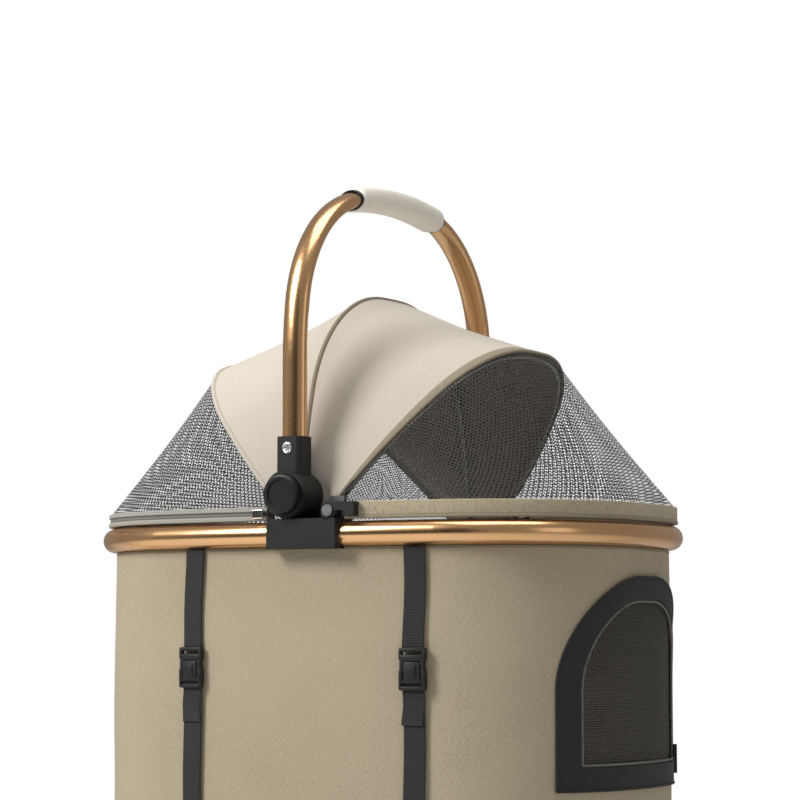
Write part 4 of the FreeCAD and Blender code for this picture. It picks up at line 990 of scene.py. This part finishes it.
def profile_ring(name, profile, angles, material):
    """A closed cross-section of (grow, height) points run along part of the rim's plan."""
    count = len(angles) - 1
    rim = profile + [profile[0]]
    sides = len(profile)

    def shape(u, v):
        grow, height = rim[round(v * sides)]
        return rim_point(angles[round(u * count)], grow, height)

    piece = grid_piece(name, count, sides, shape, material, closed=True)
    select_only(piece)
    bpy.ops.object.mode_set(mode="EDIT")
    bpy.ops.mesh.select_all(action="DESELECT")
    bpy.ops.mesh.select_mode(type="EDGE")
    bpy.ops.mesh.select_non_manifold(extend=False)
    bpy.ops.mesh.fill()
    bpy.ops.mesh.select_all(action="SELECT")
    bpy.ops.mesh.normals_make_consistent(inside=False)
    bpy.ops.mesh.select_mode(type="VERT")
    bpy.ops.object.mode_set(mode="OBJECT")
    smooth(piece, 35.0)
    return piece


def rounded_profile(inner, outer, low, high, bend, steps=3):
    """A rectangle with rounded corners, as (grow, height) points."""
    points = []
    far, near, upper, lower = outer - bend, inner + bend, high - bend, low + bend
    corners = [(far, upper, 0), (near, upper, 90), (near, lower, 180), (far, lower, 270)]
    for grow, height, first in corners:
        for i in range(steps + 1):
            turn = math.radians(first + 90.0 * i / steps)
            points.append((grow + bend * math.cos(turn), height + bend * math.sin(turn)))
    return points


def plan_angle(x):
    """Normal angle on the rim's far side at a place along its length."""
    return math.acos(x / RIM_OVAL.radii[2])


EDGE_BEND = 0.0012


def make_edges():
    start = plan_angle(0.060)
    ahead, _ = RIM_OVAL.even_angles(-start, start, 150)
    face = rounded_profile(0.001, 0.006, BAND_LOW + 0.0026, BAND_HIGH, EDGE_BEND)
    foot = rounded_profile(0.0005, 0.0068, BAND_LOW, BAND_LOW + 0.0030, EDGE_BEND)
    band = profile_ring("hem_band_cloth", face, ahead, LINEN)
    # The lip's darkened linen paints the thin shadow line under the band.
    lip = profile_ring("hem_band_lip", foot, ahead, LINEN_PAINTED_SHADE)
    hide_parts("hem_band")
    for piece in (band, lip):
        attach(piece, "canopy_hem")
    start = plan_angle(-0.020)
    behind, _ = RIM_OVAL.even_angles(start, 2 * math.pi - start, 150)
    height = TAPE_HIGH - BAND_LOW
    layers = []
    # The inset middle layer takes the darkened grey: painted shade in the groove.
    for i, (grow, material) in enumerate(((0.0060, GREY_TAPE), (0.0044, GREY_PAINTED_SHADE), (0.0058, GREY_TAPE))):
        low = BAND_LOW + height * i / 3
        profile = rounded_profile(-0.008, grow, low, low + height / 3 + 0.0002, 0.0010)
        layers.append(profile_ring("zip_layer_" + str(i), profile, behind, material))
    tape = joined(layers, "zip_tape_layers")
    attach(tape, "carrier")
    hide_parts("zip_tape")


# ---- straps and buckles

STRAP_PLACES = (-104, 124)
STRAP_HALF = 0.010
BUCKLE_HIGH = -0.099
BUCKLE_LOW = -0.136


def side_point(x, side, grow, height):
    """A point on the basket's long side at x, side -1 near and 1 far."""
    angle = math.acos(min(max(x / (RIM_OVAL.radii[2] + BASKET_GROW), -1.0), 1.0))
    flat = RIM_OVAL.at(angle, BASKET_GROW + grow)
    return RIM + Vector((flat.x, side * flat.y, height))


def strap(name, x, side, low, high, lift_low, lift_high, lift_mid):
    """A flat webbing run that hangs on the basket's side and lifts off it at its ends."""
    rows = 36

    def shape(u, v):
        height = low + (high - low) * v
        lift = lift_low * (1 - v) ** 6 + lift_high * v**6 + lift_mid * math.sin(math.pi * v)
        sway = 0.0009 * math.sin(v * 5.0 + x)
        return side_point(x * MM + (u - 0.5) * 2 * STRAP_HALF + sway, side, 0.0012 + lift, height)

    piece = grid_piece(name, 10, rows, shape, WEBBING)
    outward_from(piece, RIM)
    modified(piece, "SOLIDIFY", thickness=0.0014, offset=1.0)
    modified(piece, "BEVEL", width=0.0004, segments=2, limit_method="ANGLE")
    return piece


BUCKLE_MIDDLE = (BUCKLE_HIGH + BUCKLE_LOW) / 2
BUCKLE_PARTS = (
    ("_body", 0, BUCKLE_MIDDLE - 0.003, (0.0165, 0.0072, 0.019), 0, 0.0018),
    ("_cheek_l", -0.0105, BUCKLE_MIDDLE - 0.0065, (0.0040, 0.0068, 0.0125), 0, 0.0014),
    ("_cheek_r", 0.0105, BUCKLE_MIDDLE - 0.0065, (0.0040, 0.0068, 0.0125), 0, 0.0014),
    ("_prong_l", -0.0098, BUCKLE_MIDDLE + 0.0035, (0.0045, 0.0050, 0.0100), 0.0004, 0.0018),
    ("_prong_r", 0.0098, BUCKLE_MIDDLE + 0.0035, (0.0045, 0.0050, 0.0100), 0.0004, 0.0018),
    ("_plug", 0, BUCKLE_MIDDLE + 0.0095, (0.0240, 0.0066, 0.0060), 0, 0.0016),
    ("_bar_high", 0, BUCKLE_HIGH - 0.0020, (0.0250, 0.0056, 0.0036), 0, 0.0014),
    ("_bar_low", 0, BUCKLE_LOW + 0.0020, (0.0250, 0.0056, 0.0036), 0, 0.0014),
    ("_bar_mid", 0, BUCKLE_LOW + 0.0075, (0.0250, 0.0050, 0.0030), 0.0004, 0.0012),
    ("_side_lowa", -0.0112, BUCKLE_LOW + 0.0060, (0.0030, 0.0056, 0.0110)),
    ("_side_higha", -0.0112, BUCKLE_HIGH - 0.0060, (0.0030, 0.0056, 0.0100)),
    ("_side_lowb", 0.0112, BUCKLE_LOW + 0.0060, (0.0030, 0.0056, 0.0110)),
    ("_side_highb", 0.0112, BUCKLE_HIGH - 0.0060, (0.0030, 0.0056, 0.0100)),
    ("_ridge", 0, BUCKLE_MIDDLE - 0.002, (0.0085, 0.0016, 0.0110), 0.0036, 0.0007),
)


def buckle(name, x, side):
    """Side-release buckle: socket body with side grips, plug with two prongs, and strap bars."""
    pieces = []
    base = side_point(x * MM, side, 0.0, 0.0)
    centre_y = base.y + side * 0.0052

    def part(label, dx, dz, size, lift=0.0, bevel=0.0012):
        centre = Vector((base.x + dx, centre_y + side * lift, RIM.z + dz))
        pieces.append(block(name + label, centre, size, BLACK_PLASTIC, bevel))

    for row in BUCKLE_PARTS:
        part(*row)
    whole = joined(pieces, name)
    turn = -side * math.asin(x * MM / RIM_OVAL.radii[2])
    around = Matrix.Translation(base) @ Matrix.Rotation(turn, 4, "Z") @ Matrix.Translation(-base)
    whole.data.transform(around)
    return whole


STRAP_RUNS = (
    ("high", BUCKLE_HIGH - 0.004, -TUBE_RADIUS - 0.001, 0.0022, 0.0, 0.0004),
    ("low", BASKET_FOOT + 0.001, BUCKLE_LOW + 0.008, 0.0, 0.0030, 0.0010),
    ("end", BUCKLE_LOW - 0.030, BUCKLE_LOW + 0.006, 0.0030, 0.0044, 0.0018),
)


def make_straps():
    straps = []
    buckles = []
    for side, label in ((-1, "near"), (1, "far")):
        for i, x in enumerate(STRAP_PLACES):
            key = label + str(i)
            for part, low, high, *lifts in STRAP_RUNS:
                straps.append(strap("strap_%s_%s" % (part, key), x, side, low, high, *lifts))
            buckles.append(buckle("buckle_" + key, x, side))
    webs = joined(straps, "strap_webbing")
    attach(webs, "carrier")
    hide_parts("side_straps")
    catches = joined(buckles, "strap_buckles")
    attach(catches, "carrier")
    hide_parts("buckle_plugs", "buckle_sockets")


# ---- cushion

def make_cushion():
    """Pet cushion: a puffed pad on the base board, with a piped edge and sewn channels."""
    low, high = (Vector(corner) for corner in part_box("cushion"))
    height = high.z - low.z
    angles, _ = RIM_OVAL.even_angles(0.0, 2 * math.pi, 128)
    rows = 24
    centre = Vector((RIM.x, RIM.y, (low.z + high.z) / 2))

    def shape(u, v):
        turn = -math.pi / 2 + math.pi * v
        reach = math.cos(turn)
        swell = abs(reach) ** 0.35 if reach > 1e-6 else 0.0
        rise = math.sin(turn) * (0.5 * height - 0.003)
        edge = rim_point(angles[round(u * 128)], -0.020, 0)
        point = centre.lerp(Vector((edge.x, edge.y, centre.z)), max(swell, 0.02))
        point.z = centre.z + rise
        return point

    piece = grid_piece("cushion_pad", 128, rows, shape, COTTON, closed=True)
    outward(piece)
    puff(piece)
    floor = low.z + 0.0004
    for vertex in piece.data.vertices:
        away = vertex.co - centre
        channel = min(abs(away.x / 0.075 - round(away.x / 0.075)), 0.12) / 0.12
        if vertex.co.z > centre.z:
            vertex.co.z -= 0.006 * (1 - channel) * max(0.0, 1 - abs(away.y) / 0.150)
        vertex.co.z = max(vertex.co.z, floor)
        vertex.co.z = min(vertex.co.z, high.z + 0.004)
    smooth(piece, 180.0)
    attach(piece, "carrier")
    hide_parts("cushion")
    edge = [rim_point(angle, -0.0185, centre.z - RIM.z) for angle in angles[:-1]]
    piping = cord_piece("cushion_piping", edge, 0.0022, LINEN_PALE, closed=True)
    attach(piping, "carrier")


def puff(piece):
    """A short cloth simulation with inside pressure, capped at a few millimetres."""
    modified(piece, "REMESH", mode="VOXEL", voxel_size=0.006)
    start = [vertex.co.copy() for vertex in piece.data.vertices]
    select_only(piece)
    cloth = piece.modifiers.new("Cloth", "CLOTH")
    cloth.settings.use_pressure = True
    cloth.settings.uniform_pressure_force = 4.0
    cloth.settings.effector_weights.gravity = 0.0
    cloth.settings.quality = 4
    cloth.point_cache.frame_start = 1
    cloth.point_cache.frame_end = 20
    scene = bpy.context.scene
    for number in range(1, 21):
        scene.frame_set(number)
    bpy.ops.object.modifier_apply(modifier=cloth.name)
    scene.frame_set(1)
    cap = 0.006
    for vertex, before in zip(piece.data.vertices, start):
        move = vertex.co - before
        if move.length > cap:
            vertex.co = before + move.normalized() * cap
    modified(piece, "SUBSURF", levels=1, render_levels=1)


# ---- storage basket

def make_store():
    """Open-topped cloth tub under the frame: sides sag a little, with a bound rim."""
    low, high = (Vector(corner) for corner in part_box("storage_basket"))
    centre = (low + high) / 2
    half = (high - low) / 2
    steps = 96

    def outline(turn, shrink):
        power = 0.28
        c, s = math.cos(turn), math.sin(turn)
        x = math.copysign(abs(c) ** power, c) * (half.x - shrink)
        y = math.copysign(abs(s) ** power, s) * (half.y - shrink)
        return x, y

    def shape(u, v):
        turn = 2 * math.pi * u
        if v < 0.3:
            share = v / 0.3
            x, y = outline(turn, 0.010)
            return Vector((centre.x + x * max(share, 0.02), centre.y + y * max(share, 0.02), low.z + 0.002))
        share = (v - 0.3) / 0.7
        sag = 0.009 * math.sin(math.pi * share) ** 0.7
        x, y = outline(turn, 0.010 * (1 - share) ** 3 + sag + 0.001)
        wave = ripple((x, y, share), 0.003, 11.0, 2.0) * math.sin(math.pi * share)
        z = low.z + 0.002 + (high.z - low.z - 0.004) * share
        return Vector((centre.x + x * (1 + wave), centre.y + y * (1 + wave), z))

    piece = grid_piece("storage_tub", steps, 40, shape, STORE_CLOTH, closed=True)
    outward(piece)
    modified(piece, "SOLIDIFY", thickness=0.0022, offset=-1.0)
    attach(piece, "frame")
    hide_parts("storage_basket")
    rim = []
    for i in range(steps):
        x, y = outline(2 * math.pi * i / steps, 0.0022)
        rim.append(Vector((centre.x + x, centre.y + y, high.z - 0.003)))
    edge = cord_piece("storage_rim_binding", rim, 0.0028, WEBBING, closed=True)
    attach(edge, "frame")


# ---- bail's grip and screws

GRIP_STEPS = 72
GRIP_TURNS = 40
GRIP_END = 0.005
GRIP_SKIN = 0.0002
COLLAR_DEPTH = 0.003
COLLAR_SIZE = 0.86
END_CLOSE = 0.26
SECTION_POWER = 2.4
SEAM_DEPTH = 0.0007
SEAM_WIDTH = 0.05


def make_grip():
    """Leather sleeve over the grip's core: rounded ends, a seam inside, and a ring at each end."""
    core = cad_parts["bail_grip"]
    points = [vertex.co.copy() for vertex in core.data.vertices]
    low, high = (Vector(corner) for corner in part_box("bail_grip"))
    half = (high.y - low.y) / 2
    middle_y = (high.y + low.y) / 2
    ends = [p for p in points if abs(abs(p.y - middle_y) - half) < 0.003]
    end_top = max(p.z for p in ends)
    end_low = min(p.z for p in ends)
    drop = high.z - end_top
    centre_x = (low.x + high.x) / 2
    half_x = (high.x - low.x) / 2 + GRIP_SKIN
    half_z = (end_top - end_low) / 2 + GRIP_SKIN
    crown_z = high.z - (end_top - end_low) / 2

    def shape(u, v):
        along = 2.0 * u - 1.0
        from_end = (1.0 - abs(along)) * half
        close = 1.0
        if from_end < GRIP_END:
            share = 1.0 - from_end / GRIP_END
            close = 1.0 - END_CLOSE * (1.0 - math.sqrt(max(1.0 - share * share, 0.0)))
        turn = 2.0 * math.pi * v
        sink = SEAM_DEPTH * math.exp(-((math.sin(turn / 2 + math.pi / 4)) / SEAM_WIDTH) ** 2)
        c, t = math.cos(turn), math.sin(turn)
        swell = (abs(c) ** SECTION_POWER + abs(t) ** SECTION_POWER) ** (-1 / SECTION_POWER) - sink / half_z
        x = centre_x + c * half_x * close * swell
        z = crown_z - drop * along * along + t * half_z * close * swell
        return Vector((x, middle_y + along * half, z))

    def ring(side):
        def band(u, v):
            turn = 2.0 * math.pi * v
            y = middle_y + side * (half - COLLAR_DEPTH + 2.0 * COLLAR_DEPTH * u)
            share = abs(y - middle_y) / half
            reach = COLLAR_SIZE if 0.0 < u < 1.0 else COLLAR_SIZE - 0.08
            x = centre_x + math.cos(turn) * half_x * reach
            return Vector((x, y, crown_z - drop * share * share + math.sin(turn) * half_z * reach))

        return grid_piece("collar_%d" % side, 5, GRIP_TURNS, band, BLACK_PLASTIC, closed=True)

    collars = joined([ring(-1), ring(1)], "grip_end_collars")
    outward(collars)
    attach(collars, "bail")
    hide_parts("bail_grip_collars")
    sleeve = grid_piece("grip_sleeve", GRIP_STEPS, GRIP_TURNS, shape, LEATHER, closed=True)
    outward(sleeve)
    smooth(sleeve, 60.0)
    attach(sleeve, "bail")
    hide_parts("bail_grip")


def make_screws():
    """Pan-head screws with a cross recess, each in a dark washer, on the sleeves' outer faces."""
    low, high = (Vector(corner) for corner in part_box("bail_screws"))
    centre_x = (low.x + high.x) / 2
    centre_z = (low.z + high.z) / 2
    radius = (high.x - low.x) / 2
    heads = []
    washers = []
    for side, face in ((-1, low.y), (1, high.y)):
        centre = Vector((centre_x, face - side * 0.0008, centre_z))
        head = cylinder("screw_head_%d" % side, centre, radius, 0.0018, "Y", STEEL, 40, 0.0006)
        for size in ((radius * 1.25, 0.0016, 0.0013), (0.0013, 0.0016, radius * 1.25)):
            slot = block("recess", Vector((centre_x, face + side * 0.0002, centre_z)), size, STEEL, 0.0002)
            modified(head, "BOOLEAN", operation="DIFFERENCE", object=slot, solver="EXACT")
            bpy.data.objects.remove(slot)
        heads.append(head)
        ring = Vector((centre_x, face - side * 0.0014, centre_z))
        wide = radius * 1.22
        washers.append(cylinder("washer_%d" % side, ring, wide, 0.0012, "Y", BLACK_SMOOTH, 40, 0.0004))
    screws = joined(heads, "bail_screw_heads")
    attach(screws, "bail")
    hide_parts("bail_screws")
    rings = joined(washers, "bail_screw_washers")
    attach(rings, "bail")


# ---- stage

DARK_SIDE = (-0.26, -0.966)


def make_stage():
    """Pale floor, a world that is dark on one side, and three soft lamps."""
    bpy.ops.object.select_all(action="DESELECT")
    bpy.ops.mesh.primitive_circle_add(vertices=96, radius=3.4, fill_type="NGON", location=(0, 0, -0.0006))
    floor = bpy.context.object
    name_piece(floor, "studio_floor", Finish("floor_paint", (0.86, 0.86, 0.85), 0.7).material)

    world = bpy.data.worlds.new("studio")
    bpy.context.scene.world = world
    world.use_nodes = True
    nodes, links = world.node_tree.nodes, world.node_tree.links
    background = nodes["Background"]
    path = nodes.new("ShaderNodeLightPath")
    plain = nodes.new("ShaderNodeBackground")
    plain.inputs["Strength"].default_value = 1.0
    plain.inputs["Color"].default_value = (1, 1, 1, 1)
    background.inputs["Strength"].default_value = 0.31
    direction = nodes.new("ShaderNodeTexCoord").outputs["Generated"]
    parts = nodes.new("ShaderNodeSeparateXYZ")
    links.new(direction, parts.inputs[0])
    x, y = (Wire(world.node_tree, socket) for socket in parts.outputs[:2])
    toward = x * DARK_SIDE[0] + y * DARK_SIDE[1]
    shade = nodes.new("ShaderNodeValToRGB")
    links.new(toward.socket, shade.inputs[0])
    points = shade.color_ramp.elements
    points[0].position, points[0].color = 0.78, (1.0, 0.985, 0.96, 1)
    points[1].position, points[1].color = 0.90, (0.05, 0.045, 0.04, 1)
    links.new(shade.outputs[0], background.inputs["Color"])
    blend = nodes.new("ShaderNodeMixShader")
    links.new(path.outputs["Is Camera Ray"], blend.inputs[0])
    links.new(background.outputs[0], blend.inputs[1])
    links.new(plain.outputs[0], blend.inputs[2])
    links.new(blend.outputs[0], nodes["World Output"].inputs[0])

    def softbox(name, offset, size, power, target=(0, 0, 0.05)):
        data = bpy.data.lights.new(name, "AREA")
        data.shape = "RECTANGLE"
        data.size, data.size_y = size
        data.energy = power
        lamp = bpy.data.objects.new(name, data)
        bpy.context.collection.objects.link(lamp)
        lamp.location = RIM + Vector(offset)
        aim = RIM + Vector(target) - lamp.location
        lamp.rotation_euler = aim.to_track_quat("-Z", "Y").to_euler()

    softbox("key_left", (-1.5, -2.1, 1.7), (0.9, 1.3), 78.0)
    softbox("top_soft", (0.2, -0.2, 2.4), (1.6, 1.6), 30.0)
    softbox("fill_right", (2.6, -0.9, 0.6), (1.2, 1.6), 4.0)

    bpy.context.scene.view_settings.view_transform = "Standard"
    bpy.context.scene.view_settings.look = "None"


CAMERA_OFFSET = Vector((1.28508, -2.16491, -0.08625))
CAMERA_YAW = -30.443
CAMERA_PITCH = 4.962
CAMERA_LENS = 120.567


def make_camera():
    data = bpy.data.cameras.new("camera")
    data.lens = CAMERA_LENS
    data.sensor_width = 36.0
    camera = bpy.data.objects.new("camera", data)
    bpy.context.collection.objects.link(camera)
    camera.location = RIM + CAMERA_OFFSET
    yaw = math.radians(CAMERA_YAW)
    pitch = math.radians(CAMERA_PITCH)
    ahead = Vector((math.sin(yaw) * math.cos(pitch), math.cos(yaw) * math.cos(pitch), math.sin(pitch)))
    camera.rotation_euler = ahead.to_track_quat("-Z", "Y").to_euler()
    bpy.context.scene.camera = camera


make_camera()
make_stage()
dress_nodes()
make_basket()
make_window()
make_canopy()
make_edges()
make_straps()
make_cushion()
make_store()
make_grip()
make_screws()

bpy.ops.object.select_all(action="DESELECT")
